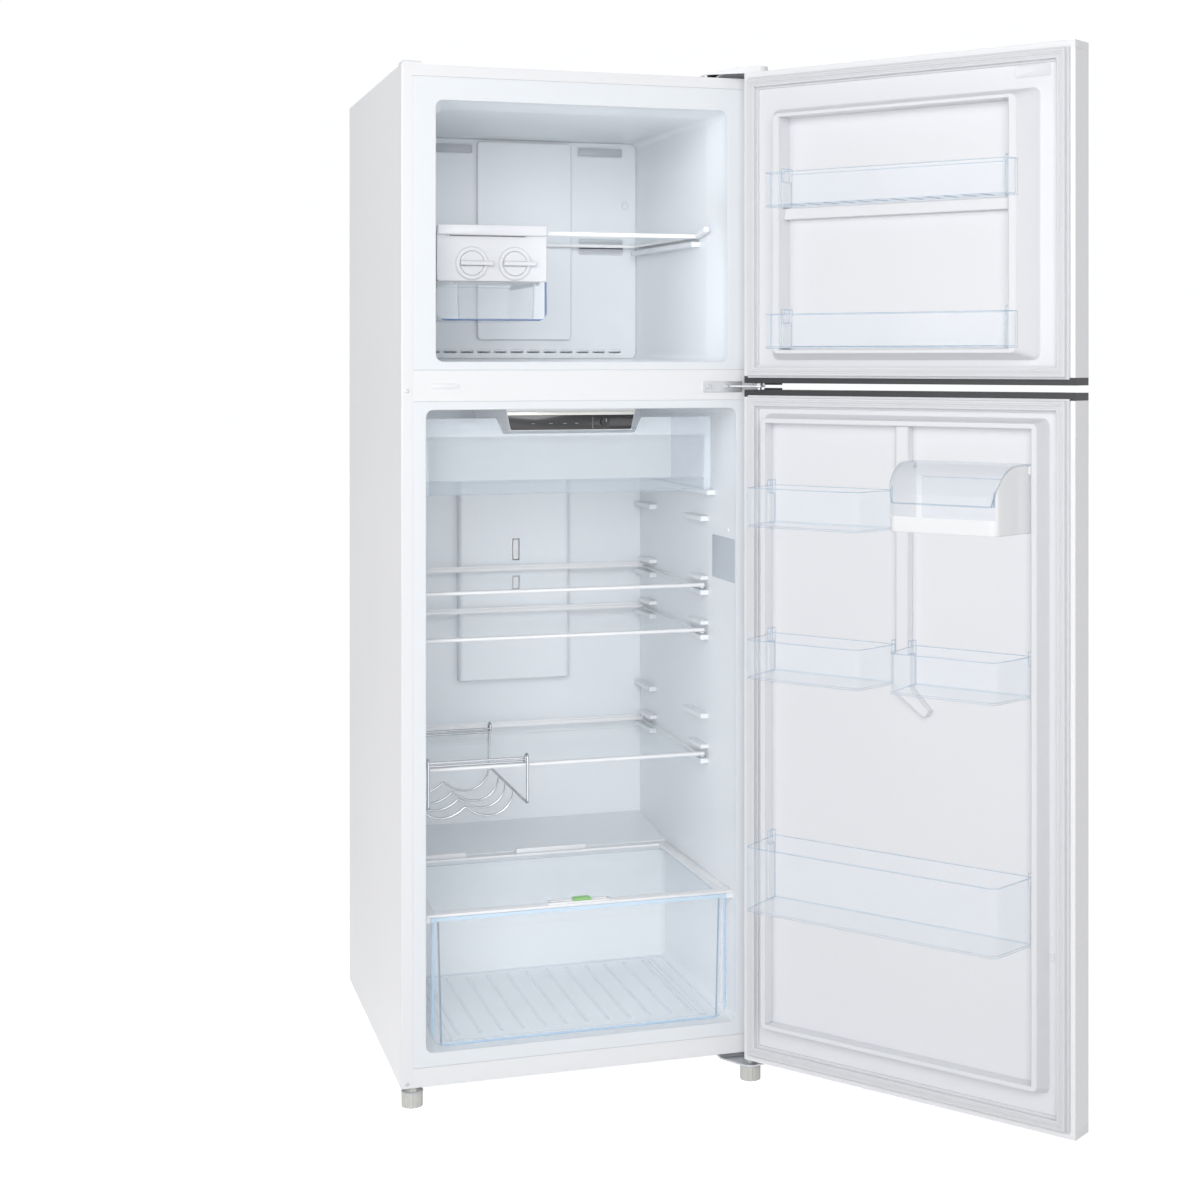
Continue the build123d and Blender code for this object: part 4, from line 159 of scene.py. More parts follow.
def place(x, y, z):
    """A point of the cabinet in the shared frame."""
    return Vector(((x - 20) / 1000, (y - 15) / 1000, (z + 32) / 1000))


def clear():
    """Leaves edit mode and deselects everything."""
    if bpy.context.object and bpy.context.object.mode != "OBJECT":
        bpy.ops.object.mode_set(mode="OBJECT")
    bpy.ops.object.select_all(action="DESELECT")


def picked(piece):
    """Makes one piece the only selected one and the active one."""
    clear()
    piece.select_set(True)
    bpy.context.view_layer.objects.active = piece


def named(name):
    """Names the active object and its mesh, and puts its place into its mesh."""
    piece = bpy.context.object
    piece.name = name
    piece.data.name = name
    bpy.ops.object.transform_apply(location=True, rotation=True, scale=True)
    return piece


def box_piece(name, low, high):
    """A box between two corners of the shared frame, to be shaped."""
    clear()
    low, high = Vector(low), Vector(high)
    bpy.ops.mesh.primitive_cube_add(size=1, location=(low + high) / 2, scale=high - low)
    return named(name)


def block(name, low, high):
    """A box between two corners of the cabinet, in millimetres."""
    return box_piece(name, place(*low), place(*high))


def round_piece(name, centre, radius, depth, axis, vertices=24):
    """A short round bar centred on a point, along an axis."""
    clear()
    turn = {"X": (0, pi / 2, 0), "Y": (pi / 2, 0, 0), "Z": (0, 0, 0)}[axis]
    bpy.ops.mesh.primitive_cylinder_add(
        vertices=vertices, radius=radius, depth=depth, location=centre, rotation=turn
    )
    return named(name)


def edit(piece, kind, chosen):
    """Goes into edit mode with only the faces or edges that pass a test selected."""
    picked(piece)
    bpy.ops.object.mode_set(mode="EDIT")
    bpy.ops.mesh.select_mode(type=kind)
    bpy.ops.mesh.select_all(action="DESELECT")
    mesh = bmesh.from_edit_mesh(piece.data)
    for item in mesh.faces if kind == "FACE" else mesh.edges:
        if chosen(item):
            item.select_set(True)
    mesh.select_flush_mode()
    bmesh.update_edit_mesh(piece.data)


def facing(direction, limit=0.9):
    """A test for the faces that look along a direction."""
    direction = Vector(direction)
    return lambda face: face.normal.dot(direction) > limit


def along(axis, near=lambda point: True):
    """A test for the edges along an axis, near a place."""

    def chosen(edge):
        run = edge.verts[1].co - edge.verts[0].co
        middle = (edge.verts[0].co + edge.verts[1].co) / 2
        return abs(run.normalized()["XYZ".index(axis)]) > 0.99 and near(middle)

    return chosen


def bevelled(piece, chosen, width, segments):
    """Bevels the edges that pass a test."""
    edit(piece, "EDGE", chosen)
    bpy.ops.mesh.bevel(offset=width, segments=segments, affect="EDGES", clamp_overlap=True)
    clear()
    return piece


def softened(piece, width):
    """Rounds every sharp edge a little and shades the piece smooth by angle."""
    picked(piece)
    modifier = piece.modifiers.new("Edges", "BEVEL")
    modifier.width = width
    modifier.segments = 2
    modifier.limit_method = "ANGLE"
    modifier.angle_limit = radians(30)
    bpy.ops.object.modifier_apply(modifier=modifier.name)
    bpy.ops.object.shade_smooth_by_angle(angle=SMOOTH_ANGLE)
    clear()
    return piece


def joined(name, pieces):
    """Joins several meshes into one named piece."""
    clear()
    for piece in pieces:
        piece.select_set(True)
    bpy.context.view_layer.objects.active = pieces[0]
    bpy.ops.object.join()
    return named(name)


def swung(piece):
    """Turns a piece modelled on a closed door to where the open door is at rest."""
    picked(piece)
    bpy.ops.transform.rotate(
        value=radians(HINGE["range_deg"][0]),
        orient_axis="Z",
        orient_type="GLOBAL",
        center_override=HINGE["pos_m"],
    )
    bpy.ops.object.transform_apply(location=True, rotation=True, scale=True)
    clear()
    return piece


def lets_light_by(piece):
    """Keeps a clear piece from shading what lies behind it, as thin clear plastic hardly does."""
    piece.visible_shadow = False
    piece.visible_diffuse = False


def dressed(piece, finish):
    """Gives a piece one finish."""
    piece.data.materials.clear()
    piece.data.materials.append(finish)


def finished(piece, body, finish, stands_for=()):
    """Gives a piece its finish and the body that it moves with."""
    dressed(piece, finish)
    if stands_for:
        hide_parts(*stands_for)
    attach(piece, body)
    return piece


def fixed(piece, finish, edge):
    """Softens and finishes a piece that stays with the cabinet."""
    finished(softened(piece, edge), "cabinet", finish)


# Node groups shared by the finishes


def group(name, inputs, outputs):
    """A node group with its sockets, its input and its output nodes."""
    tree = bpy.data.node_groups.new(name, "ShaderNodeTree")
    for label, kind, default in inputs:
        socket = tree.interface.new_socket(name=label, in_out="INPUT", socket_type=kind)
        socket.default_value = default
    for label, kind in outputs:
        tree.interface.new_socket(name=label, in_out="OUTPUT", socket_type=kind)
    return tree, tree.nodes.new("NodeGroupInput"), tree.nodes.new("NodeGroupOutput")


def wired(tree, *wires):
    """Links outputs to inputs, each wire given as node, socket, node, socket."""
    for source, output, target, socket in wires:
        tree.links.new(source.outputs[output], target.inputs[socket])


def maths(tree, operation, *values):
    """A math node with its plain values, None where a link goes in."""
    node = tree.nodes.new("ShaderNodeMath")
    node.operation = operation
    for socket, value in zip(node.inputs, values):
        if value is not None:
            socket.default_value = value
    return node


def vector_maths(tree, operation):
    """A vector math node."""
    node = tree.nodes.new("ShaderNodeVectorMath")
    node.operation = operation
    return node


def colour_mix(tree):
    """A mix node for colours."""
    node = tree.nodes.new("ShaderNodeMix")
    node.data_type = "RGBA"
    return node


def surface_play():
    """Broad patches of a second colour, a fine grain height and a gloss value."""
    found = bpy.data.node_groups.get("Surface Play")
    if found:
        return found
    tree, given, out = group(
        "Surface Play",
        (
            ("Colour", "NodeSocketColor", (1, 1, 1, 1)),
            ("Tint", "NodeSocketColor", (1, 1, 1, 1)),
            ("Patch Scale", "NodeSocketFloat", 3.0),
            ("Grain Scale", "NodeSocketFloat", 900.0),
        ),
        (("Colour", "NodeSocketColor"), ("Grain", "NodeSocketFloat"), ("Gloss", "NodeSocketFloat")),
    )
    coordinates = tree.nodes.new("ShaderNodeTexCoord")
    patches = tree.nodes.new("ShaderNodeTexNoise")
    patches.inputs["Detail"].default_value = 3
    grain = tree.nodes.new("ShaderNodeTexNoise")
    grain.inputs["Detail"].default_value = 2
    mix = colour_mix(tree)
    wired(
        tree,
        (coordinates, "Object", patches, "Vector"),
        (coordinates, "Object", grain, "Vector"),
        (given, "Patch Scale", patches, "Scale"),
        (given, "Grain Scale", grain, "Scale"),
        (patches, "Fac", mix, "Factor"),
        (given, "Colour", mix, "A"),
        (given, "Tint", mix, "B"),
        (mix, "Result", out, "Colour"),
        (grain, "Fac", out, "Grain"),
        (patches, "Fac", out, "Gloss"),
    )
    return tree


def edge_mask():
    """How near a point is to a sharp edge, and the normal rounded over that edge."""
    found = bpy.data.node_groups.get("Edge Mask")
    if found:
        return found
    tree, given, out = group(
        "Edge Mask",
        (("Radius", "NodeSocketFloat", 0.001), ("Contrast", "NodeSocketFloat", 4.0)),
        (("Mask", "NodeSocketFloat"), ("Normal", "NodeSocketVector")),
    )
    rounded = tree.nodes.new("ShaderNodeBevel")
    rounded.samples = 4
    surface = tree.nodes.new("ShaderNodeNewGeometry")
    dot = vector_maths(tree, "DOT_PRODUCT")
    away = maths(tree, "SUBTRACT", 1)
    strong = maths(tree, "MULTIPLY")
    strong.use_clamp = True
    wired(
        tree,
        (given, "Radius", rounded, "Radius"),
        (rounded, "Normal", dot, 0),
        (surface, "Normal", dot, 1),
        (dot, "Value", away, 1),
        (away, "Value", strong, 0),
        (given, "Contrast", strong, 1),
        (strong, "Value", out, "Mask"),
        (rounded, "Normal", out, "Normal"),
    )
    return tree


def box_mask():
    """One inside a box of the shared frame, zero outside."""
    found = bpy.data.node_groups.get("Box Mask")
    if found:
        return found
    tree, given, out = group(
        "Box Mask",
        (
            ("Point", "NodeSocketVector", (0, 0, 0)),
            ("Centre", "NodeSocketVector", (0, 0, 0)),
            ("Half", "NodeSocketVector", (1, 1, 1)),
            ("Soft", "NodeSocketFloat", 0.001),
        ),
        (("Mask", "NodeSocketFloat"),),
    )
    from_centre = vector_maths(tree, "SUBTRACT")
    size = vector_maths(tree, "ABSOLUTE")
    beyond = vector_maths(tree, "SUBTRACT")
    parts = tree.nodes.new("ShaderNodeSeparateXYZ")
    most = maths(tree, "MAXIMUM")
    last = maths(tree, "MAXIMUM")
    fade = tree.nodes.new("ShaderNodeMapRange")
    fade.inputs["From Min"].default_value = 0
    fade.inputs["To Min"].default_value = 1
    fade.inputs["To Max"].default_value = 0
    wired(
        tree,
        (given, "Point", from_centre, 0),
        (given, "Centre", from_centre, 1),
        (from_centre, "Vector", size, 0),
        (size, "Vector", beyond, 0),
        (given, "Half", beyond, 1),
        (beyond, "Vector", parts, "Vector"),
        (parts, "X", most, 0),
        (parts, "Y", most, 1),
        (most, "Value", last, 0),
        (parts, "Z", last, 1),
        (last, "Value", fade, "Value"),
        (given, "Soft", fade, "From Max"),
        (fade, "Result", out, "Mask"),
    )
    return tree


def material(name):
    """A material by its name, with its Principled shader where it is newly made."""
    found = bpy.data.materials.get(name)
    if found:
        return found, None
    made = bpy.data.materials.new(name)
    made.use_nodes = True
    return made, made.node_tree.nodes["Principled BSDF"]


def placed(tree, node_group, **values):
    """Places a node group in a material with its own values."""
    node = tree.nodes.new("ShaderNodeGroup")
    node.node_tree = node_group
    for label, value in values.items():
        node.inputs[label.replace("_", " ")].default_value = value
    return node


def toned(colour, share):
    """A colour made a little darker or lighter."""
    return [share * part for part in colour]


def opaque(
    name,
    colour,
    tint,
    roughness,
    grain=900.0,
    bump=0.02,
    patch=3.0,
    metallic=0.0,
    edge=0.0008,
    **more,
):
    """A solid finish with patches of a tint, a grained gloss and soft edges."""
    made, shader = material(name)
    if not shader:
        return made
    tree = made.node_tree
    play = placed(
        tree,
        surface_play(),
        Colour=(*colour, 1),
        Tint=(*tint, 1),
        Patch_Scale=patch,
        Grain_Scale=grain,
    )
    edges = placed(tree, edge_mask(), Radius=edge, Contrast=3.0)
    bumps = tree.nodes.new("ShaderNodeBump")
    bumps.inputs["Strength"].default_value = bump
    bumps.inputs["Distance"].default_value = 0.0005
    gloss = tree.nodes.new("ShaderNodeMapRange")
    gloss.inputs["To Min"].default_value = roughness * 0.85
    gloss.inputs["To Max"].default_value = roughness * 1.15
    shader.inputs["Metallic"].default_value = metallic
    for label, value in more.items():
        shader.inputs[label.replace("_", " ")].default_value = value
    wired(
        tree,
        (play, "Colour", shader, "Base Color"),
        (play, "Gloss", gloss, "Value"),
        (gloss, "Result", shader, "Roughness"),
        (play, "Grain", bumps, "Height"),
        (edges, "Normal", bumps, "Normal"),
        (bumps, "Normal", shader, "Normal"),
    )
    return made


def closed_place(tree, on_door):
    """Object coordinates, turned back to the closed door for a piece that is on an open one."""
    coordinates = tree.nodes.new("ShaderNodeTexCoord").outputs["Object"]
    if not on_door:
        return coordinates
    back = tree.nodes.new("ShaderNodeVectorRotate")
    back.rotation_type = "Z_AXIS"
    back.inputs["Center"].default_value = HINGE["pos_m"]
    back.inputs["Angle"].default_value = radians(HINGE["range_deg"][0])
    tree.links.new(coordinates, back.inputs["Vector"])
    return back.outputs["Vector"]


def zoned(tree, point, value, zones, pick):
    """A value with each zone's own value laid over it."""
    for low, high, soft, *given in zones:
        low, high = place(*low), place(*high)
        middle, half = (low + high) / 2, (high - low) / 2
        mask = placed(tree, box_mask(), Centre=middle, Half=half, Soft=soft)
        mix = tree.nodes.new("ShaderNodeMix")
        if pick == "colour":
            mix.data_type = "RGBA"
            mix.inputs["B"].default_value = (*given[0], 1)
        else:
            mix.inputs["B"].default_value = given[1]
        tree.links.new(point, mask.inputs["Point"])
        tree.links.new(value, mix.inputs["A"])
        wired(tree, (mask, "Mask", mix, "Factor"))
        value = mix.outputs["Result"]
    return value


def see_through(
    name,
    colour,
    edge_colour,
    alpha,
    edge_alpha=0.8,
    roughness=0.06,
    radius=0.0028,
    slant=0.14,
    zones=(),
    on_door=False,
):
    """A clear finish with coloured edges, thicker at a slant, and zones of their own."""
    made, shader = material(name)
    if not shader:
        return made
    tree = made.node_tree
    link = tree.links.new
    point = closed_place(tree, on_door)
    edges = placed(tree, edge_mask(), Radius=radius, Contrast=5.0)
    tint = (*toned(colour, 0.94), 1)
    play = placed(tree, surface_play(), Colour=(*colour, 1), Tint=tint, Patch_Scale=6.0)
    tone = colour_mix(tree)
    tone.inputs["B"].default_value = (*edge_colour, 1)
    weight = tree.nodes.new("ShaderNodeLayerWeight")
    weight.inputs["Blend"].default_value = 0.35
    slanted = maths(tree, "MULTIPLY_ADD", None, slant, alpha)
    opacity = tree.nodes.new("ShaderNodeMix")
    opacity.inputs["B"].default_value = edge_alpha
    shader.inputs["Roughness"].default_value = roughness
    shader.inputs["IOR"].default_value = 1.5
    wired(
        tree,
        (edges, "Mask", tone, "Factor"),
        (play, "Colour", tone, "A"),
        (weight, "Facing", slanted, 0),
        (slanted, "Value", opacity, "A"),
        (edges, "Mask", opacity, "Factor"),
        (edges, "Normal", shader, "Normal"),
    )
    link(zoned(tree, point, tone.outputs["Result"], zones, "colour"), shader.inputs["Base Color"])
    link(zoned(tree, point, opacity.outputs["Result"], zones, "alpha"), shader.inputs["Alpha"])
    return made


# The finishes


def clear_plastic(name, edge_colour=None, **more):
    """The clear finish in the user's colours, with its own edges and zones."""
    colours = bpy.context.scene.fridge_clear
    edges = edge_colour or colours.styrene_edge
    return see_through(name, colours.styrene, edges, colours.styrene_alpha, **more)


def coloured(name, setting, share, roughness, **more):
    """A finish in one of the user's colours, with patches a little off it."""
    colour = getattr(bpy.context.scene.fridge_colours, setting)
    return opaque(name, colour, toned(colour, share), roughness, **more)


def enamel():
    return coloured("Sprayed enamel", "enamel", 0.985, 0.32, grain=420, bump=0.05, Coat_Weight=0.25)


def formed_liner():
    return coloured("Formed liner", "liner", 0.97, 0.30, grain=700, bump=0.03, edge=0.003)


def door_liner():
    return coloured("Door liner", "door_liner", 0.97, 0.30, grain=700, bump=0.03, edge=0.003)


def plate_moulding():
    """The doors' liner colour for small plates, whose own edges are fine."""
    colour = bpy.context.scene.fridge_colours.door_liner
    tone, tint = toned(colour, 0.97), toned(colour, 0.95)
    return opaque("Plate moulding", tone, tint, 0.35, grain=700, edge=0.0003)


def white_moulding():
    return coloured("White moulding", "moulding", 0.98, 0.38, grain=1500, bump=0.04)


def seal_vinyl():
    return coloured("Seal vinyl", "seal", 0.96, 0.55, grain=2000, bump=0.05)


def black_cap():
    return coloured("Black cap plastic", "caps", 2.0, 0.35, grain=1800, bump=0.10)


def clear_styrene():
    return clear_plastic("Clear styrene")


def drawer_styrene():
    """Clear, with the blue of the walls seen end on round the front."""
    blue = ((0.45, 0.63, 0.83), 0.5)
    # The white face is the plastic's haze, laid on thicker as painted light to lighten the drawer.
    face = ((55, 17, 59), (545, 22, 256), 0.0015, (0.93, 0.97, 1.0), 0.14)
    left = ((51, 17, 54), (55, 26, 262), 0.0012, *blue)
    right = ((545, 17, 54), (549, 26, 262), 0.0012, *blue)
    foot = ((51, 17, 54), (549, 26, 59), 0.0012, *blue)
    lip = ((51, 17, 256), (549, 26, 263), 0.0010, (0.62, 0.80, 0.96), 0.5)
    zones = (face, left, right, foot, lip)
    return clear_plastic("Drawer styrene", edge_alpha=0.45, zones=zones)


def lid_styrene():
    """Clear and a little grey, a painted shade standing for the shade of the box seen through it.
    """
    tone, edge = (0.60, 0.67, 0.76), (0.40, 0.55, 0.74)
    return see_through("Lid styrene", tone, edge, 0.12, edge_alpha=0.7, slant=0.2)


def ice_bin_styrene():
    """Clear, with a deep blue line round the foot and the right end of the front."""
    deep = ((0.12, 0.20, 0.42), 0.75)
    foot = ((70, 84, 1222), (252, 92, 1225.2), 0.0006, *deep)
    right = ((253.2, 84, 1228), (257, 92, 1288), 0.0006, *deep)
    face = ((72, 84, 1225), (253, 90, 1287), 0.0008, (0.90, 0.95, 1.0), 0.25)
    edges = (0.30, 0.42, 0.66)
    return clear_plastic("Ice bin styrene", edges, edge_alpha=0.7, zones=(face, foot, right))


def chiller_styrene():
    """Clear, with a frosted front, a blue lip along the foot and a pale, partly opaque right end,
    painted light that covers the dark seen through its layers.
    """
    frost = ((50, 100, 957), (478, 111, 1063), 0.0010, (0.88, 0.94, 1.0), 0.42)
    # The right end's pale, partly opaque tone is painted light over the dark seen behind it.
    end = ((478, 100, 957), (551, 111, 1063), 0.0010, (0.84, 0.91, 1.0), 0.30)
    lip = ((50, 100, 934), (551, 110, 957), 0.0010, (0.80, 0.91, 1.0), 0.25)
    return clear_plastic("Chiller styrene", zones=(frost, end, lip))


def dairy_styrene():
    """Clear in front, with solid white sides and sill."""
    white = tuple(bpy.context.scene.fridge_colours.moulding)
    left = ((59, -10, 890), (78, 110, 1010), 0.0006, white, 1.0)
    right = ((257, -10, 890), (276, 110, 1010), 0.0006, white, 1.0)
    sill = ((59, 84, 890), (276, 110, 922), 0.0006, white, 1.0)
    return clear_plastic("Dairy styrene", zones=(left, right, sill), on_door=True)


def shelf_glass():
    colours = bpy.context.scene.fridge_clear
    tone, edge, alpha = colours.glass, (0.70, 0.84, 0.88), colours.glass_alpha
    return see_through("Shelf glass", tone, edge, alpha, edge_alpha=0.6, roughness=0.02)


# Grey for the vent pockets, where it is painted shade, and for small marks, dots and the foot rims.
def shade_and_mark_grey():
    return opaque("Vent grey", (0.60, 0.62, 0.66), (0.54, 0.56, 0.60), 0.5, grain=1200)


# Near black painted shade, laid in narrow gaps and under the lower vent's bar.
def painted_gap_shade():
    return opaque("Dark gap", (0.07, 0.07, 0.08), (0.05, 0.05, 0.06), 0.7, grain=1200)


def panel_black():
    tone, tint = (0.010, 0.010, 0.012), (0.014, 0.014, 0.016)
    return opaque("Panel black", tone, tint, 0.16, grain=1600, bump=0.01, Coat_Weight=0.4)


def silver_trim():
    return opaque("Silver trim", (0.78, 0.77, 0.72), (0.70, 0.69, 0.65), 0.32, metallic=0.5)


def blank_plate():
    return opaque("Blank plate", (0.56, 0.60, 0.66), (0.52, 0.56, 0.62), 0.35, grain=700)


def zinc():
    tone, tint = (0.60, 0.61, 0.63), (0.44, 0.45, 0.47)
    more = {"grain": 300, "bump": 0.05, "patch": 160, "metallic": 0.9}
    return opaque("Galvanised sheet", tone, tint, 0.34, **more)


def chrome():
    tone, tint = (0.56, 0.57, 0.59), (0.50, 0.51, 0.54)
    return opaque("Chrome wire", tone, tint, 0.10, grain=300, bump=0.01, metallic=1.0)


NODE_FINISHES = {
    enamel: ("cabinet_shell", "freezer_door_skin", "fridge_door_skin"),
    formed_liner: ("freezer_liner", "fridge_liner", "evaporator_cover", "fridge_air_duct"),
    door_liner: (
        "freezer_door_liner",
        "fridge_door_liner",
        # The ice maker's housing and trays take the doors' darker liner colour as painted shade,
        # toning down the strong front light on them.
        "ice_maker_housing",
        "ice_tray_left",
        "ice_tray_right",
    ),
    white_moulding: (
        "mullion_cover",
        "lower_front_rail",
        "top_hinge_cover",
        "top_left_cap",
        "fridge_door_bottom_cap",
        "freezer_door_top_cap",
        "control_box",
        "fan_motor",
        "evaporator_fan",
    ),
    zinc: (
        "base_frame",
        "back_panel",
        "compressor_cover",
        "top_hinge",
        "middle_hinge",
        "bottom_hinge",
    ),
    black_cap: (
        "freezer_door_bottom_cap",
        "fridge_door_top_cap",
        "compressor",
        "drain_pan",
        "rear_rollers",
    ),
    clear_styrene: (
        "freezer_bin_upper",
        "freezer_bin_lower",
        "left_bin_upper",
        "left_bin_lower",
        "right_bin",
        "bottle_bin",
    ),
    lid_styrene: ("dairy_lid",),
    drawer_styrene: ("crisper_drawer",),
    ice_bin_styrene: ("ice_bin",),
    chiller_styrene: ("chiller_drawer",),
    dairy_styrene: ("dairy_box",),
    chrome: ("wine_rack",),
}
CLEAR_FINISHES = (
    clear_styrene,
    lid_styrene,
    drawer_styrene,
    ice_bin_styrene,
    chiller_styrene,
    dairy_styrene,
)


class FRIDGE_OT_finishes(Operator):
    """Give every carried-over CAD piece its own finish"""

    bl_idname = "fridge.finishes"
    bl_label = "Finishes"

    def execute(self, context):
        for finish, names in NODE_FINISHES.items():
            for name in names:
                node = frame["nodes"][name]
                dressed(node, finish())
                if finish in CLEAR_FINISHES:
                    lets_light_by(node)
        foam = opaque("Foam", (0.80, 0.72, 0.50), (0.72, 0.62, 0.40), 0.9, grain=500, bump=0.4)
        fins = opaque("Fin aluminium", (0.78, 0.79, 0.80), (0.66, 0.67, 0.68), 0.4, metallic=1)
        copper = opaque("Copper pipe", (0.75, 0.40, 0.25), (0.55, 0.28, 0.18), 0.3, metallic=1)
        green = context.scene.fridge_colours.slider
        singles = {
            "foam_insulation": foam,
            "freezer_door_foam": foam,
            "fridge_door_foam": foam,
            "front_feet": opaque("Foot nylon", (0.66, 0.66, 0.63), (0.6, 0.6, 0.57), 0.45),
            "evaporator": fins,
            "refrigerant_pipes": copper,
            "humidity_slider": opaque("Slider plastic", green, (0.26, 0.56, 0.18), 0.3),
            "control_knob": opaque("Knob plastic", (0.03, 0.03, 0.034), (0.05, 0.05, 0.055), 0.3),
        }
        for name, finish in singles.items():
            dressed(frame["nodes"][name], finish)
        return {"FINISHED"}


def shelf_parts(name, low, high, top, glass_back, body):
    """A shelf's pane and its frame: front trim, side rails and rear trim with its stop."""
    sizes = bpy.context.scene.fridge_shelves
    left, right = low.x, high.x
    front, back = low.y, high.y
    under = top - sizes.glass
    lip = top + 0.0025
    trim_back = front + sizes.trim_depth
    pane = box_piece(
        name + "_glass", (left + 0.002, front + 0.004, under), (right - 0.002, glass_back, top)
    )
    softened(pane, SOFT)
    trim = box_piece(name + "_trim", (left, front, lip - sizes.trim_tall), (right, trim_back, lip))
    bevelled(trim, along("X", lambda p: p.y < front + 0.001), 0.003, 3)
    bits = [trim]
    for x in (left, right - sizes.rail):
        rail_end = (x + sizes.rail, back, under)
        bits.append(box_piece("rail", (x, front + 0.006, under - 0.003), rail_end))
    bits.append(box_piece("rear", (left, back - 0.005, under - 0.002), (right, back, top + 0.001)))
    stop = ((left + 0.014, back - 0.003, top), (right - 0.014, back, top + 0.0045))
    bits.append(box_piece("stop", *stop))
    whole = softened(joined(name + "_frame", bits), SOFT)
    lets_light_by(pane)
    finished(pane, body, shelf_glass())
    finished(whole, body, white_moulding(), (name,))


class FRIDGE_OT_shelves(Operator):
    """Put glass panes and white trims in place of the three plain fridge shelves"""

    bl_idname = "fridge.shelves"
    bl_label = "Fridge shelves"

    def execute(self, context):
        for which in ("upper", "middle", "lower"):
            name = "fridge_shelf_" + which
            low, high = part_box(name)
            back = high.y - (0.086 if which == "lower" else 0.004)
            shelf_parts(name, low, high, high.z - 0.008, back, name + "_body")
        return {"FINISHED"}


class FRIDGE_OT_seals(Operator):
    """Model both door seals with their root, bellows, head and the lines along it"""

    bl_idname = "fridge.seals"
    bl_label = "Door seals"

    def execute(self, context):
        sizes = context.scene.fridge_seals
        for name, (low, high) in (("freezer", FREEZER_DOOR), ("fridge", FRIDGE_DOOR)):
            inset = sizes.outer * 1000
            corner = place(inset, DOOR_IN, low + inset)
            far = place(WIDTH - inset, DOOR_IN, high - inset)
            clear()
            bpy.ops.mesh.primitive_plane_add(
                size=1, location=(corner + far) / 2, rotation=(-pi / 2, 0, 0)
            )
            bpy.context.object.scale = (far.x - corner.x, far.z - corner.z, 1)
            seal = named(name + "_door_seal")
            edit(seal, "FACE", lambda face: True)
            bpy.ops.mesh.inset(thickness=sizes.width)
            bpy.ops.mesh.delete(type="FACE")
            steps = (
                (0.0, 0.0030),
                (0.0035, 0.0),
                (0.0, 0.0045),
                (-0.0032, 0.0),
                (0.0, 0.0030),
                (0.0010, 0.0008),
                (0.0022, 0.0),
                (0.0005, -sizes.groove),
                (0.0005, sizes.groove),
                (0.0018, 0.0),
                (0.0005, -sizes.groove),
                (0.0005, sizes.groove),
            )
            bpy.ops.mesh.select_all(action="SELECT")
            for thickness, depth in steps:
                if thickness < 0:
                    bpy.ops.mesh.inset(thickness=-thickness, use_outset=True)
                elif thickness:
                    bpy.ops.mesh.inset(thickness=thickness, depth=depth)
                else:
                    move = {"value": (0, depth, 0)}
                    bpy.ops.mesh.extrude_region_move(TRANSFORM_OT_translate=move)
            clear()
            swung(seal)
            finished(seal, name + "_door", seal_vinyl(), (name + "_door_gasket",))
        return {"FINISHED"}


def framed(piece, direction, width):
    """Opens a plate right through, leaving a rim."""
    direction = Vector(direction)
    edit(piece, "FACE", lambda face: abs(face.normal.dot(direction)) > 0.9)
    bpy.ops.mesh.inset(thickness=width)
    bpy.ops.mesh.bridge_edge_loops()
    clear()
    return piece


def tapered(piece, direction, scale):
    """Draws in the face that looks along a direction, about its own middle across the cabinet."""
    edit(piece, "FACE", facing(direction))
    low, high = [Vector(corner) for corner in (piece.bound_box[0], piece.bound_box[6])]
    bpy.ops.transform.resize(value=(scale, 1, 1), center_override=(low + high) / 2)
    clear()
    return piece


def pad(name, low, high, axis, radius, edge=0.0003):
    """A plate between two corners of the cabinet, with round corners and soft edges."""
    piece = block(name, low, high)
    bevelled(piece, along(axis), radius, 4)
    return softened(piece, edge)


def screw(spot, axis, outward, radius=0.0035, deep=0.0014):
    """A low pan head with a socket."""
    middle = place(*spot)
    head = round_piece("screw", middle, radius, deep, axis, 20)
    way = Vector([outward if letter == axis else 0 for letter in "XYZ"])

    def outer(edge):
        return all((vertex.co - middle).dot(way) > 0 for vertex in edge.verts)

    bevelled(head, outer, deep * 0.45, 3)
    edit(head, "FACE", lambda face: face.normal.dot(way) > 0.99 and len(face.verts) > 8)
    bpy.ops.mesh.inset(thickness=radius * 0.30)
    bpy.ops.mesh.inset(thickness=radius * 0.08, depth=-deep * 0.55)
    clear()
    return head


def screws(name, body, spots, axis, outward, radius=0.0035):
    """Screws of one kind as one piece."""
    heads = [screw(spot, axis, outward, radius) for spot in spots]
    piece = joined(name, heads)
    picked(piece)
    bpy.ops.object.shade_smooth_by_angle(angle=SMOOTH_ANGLE)
    return finished(piece, body, zinc())


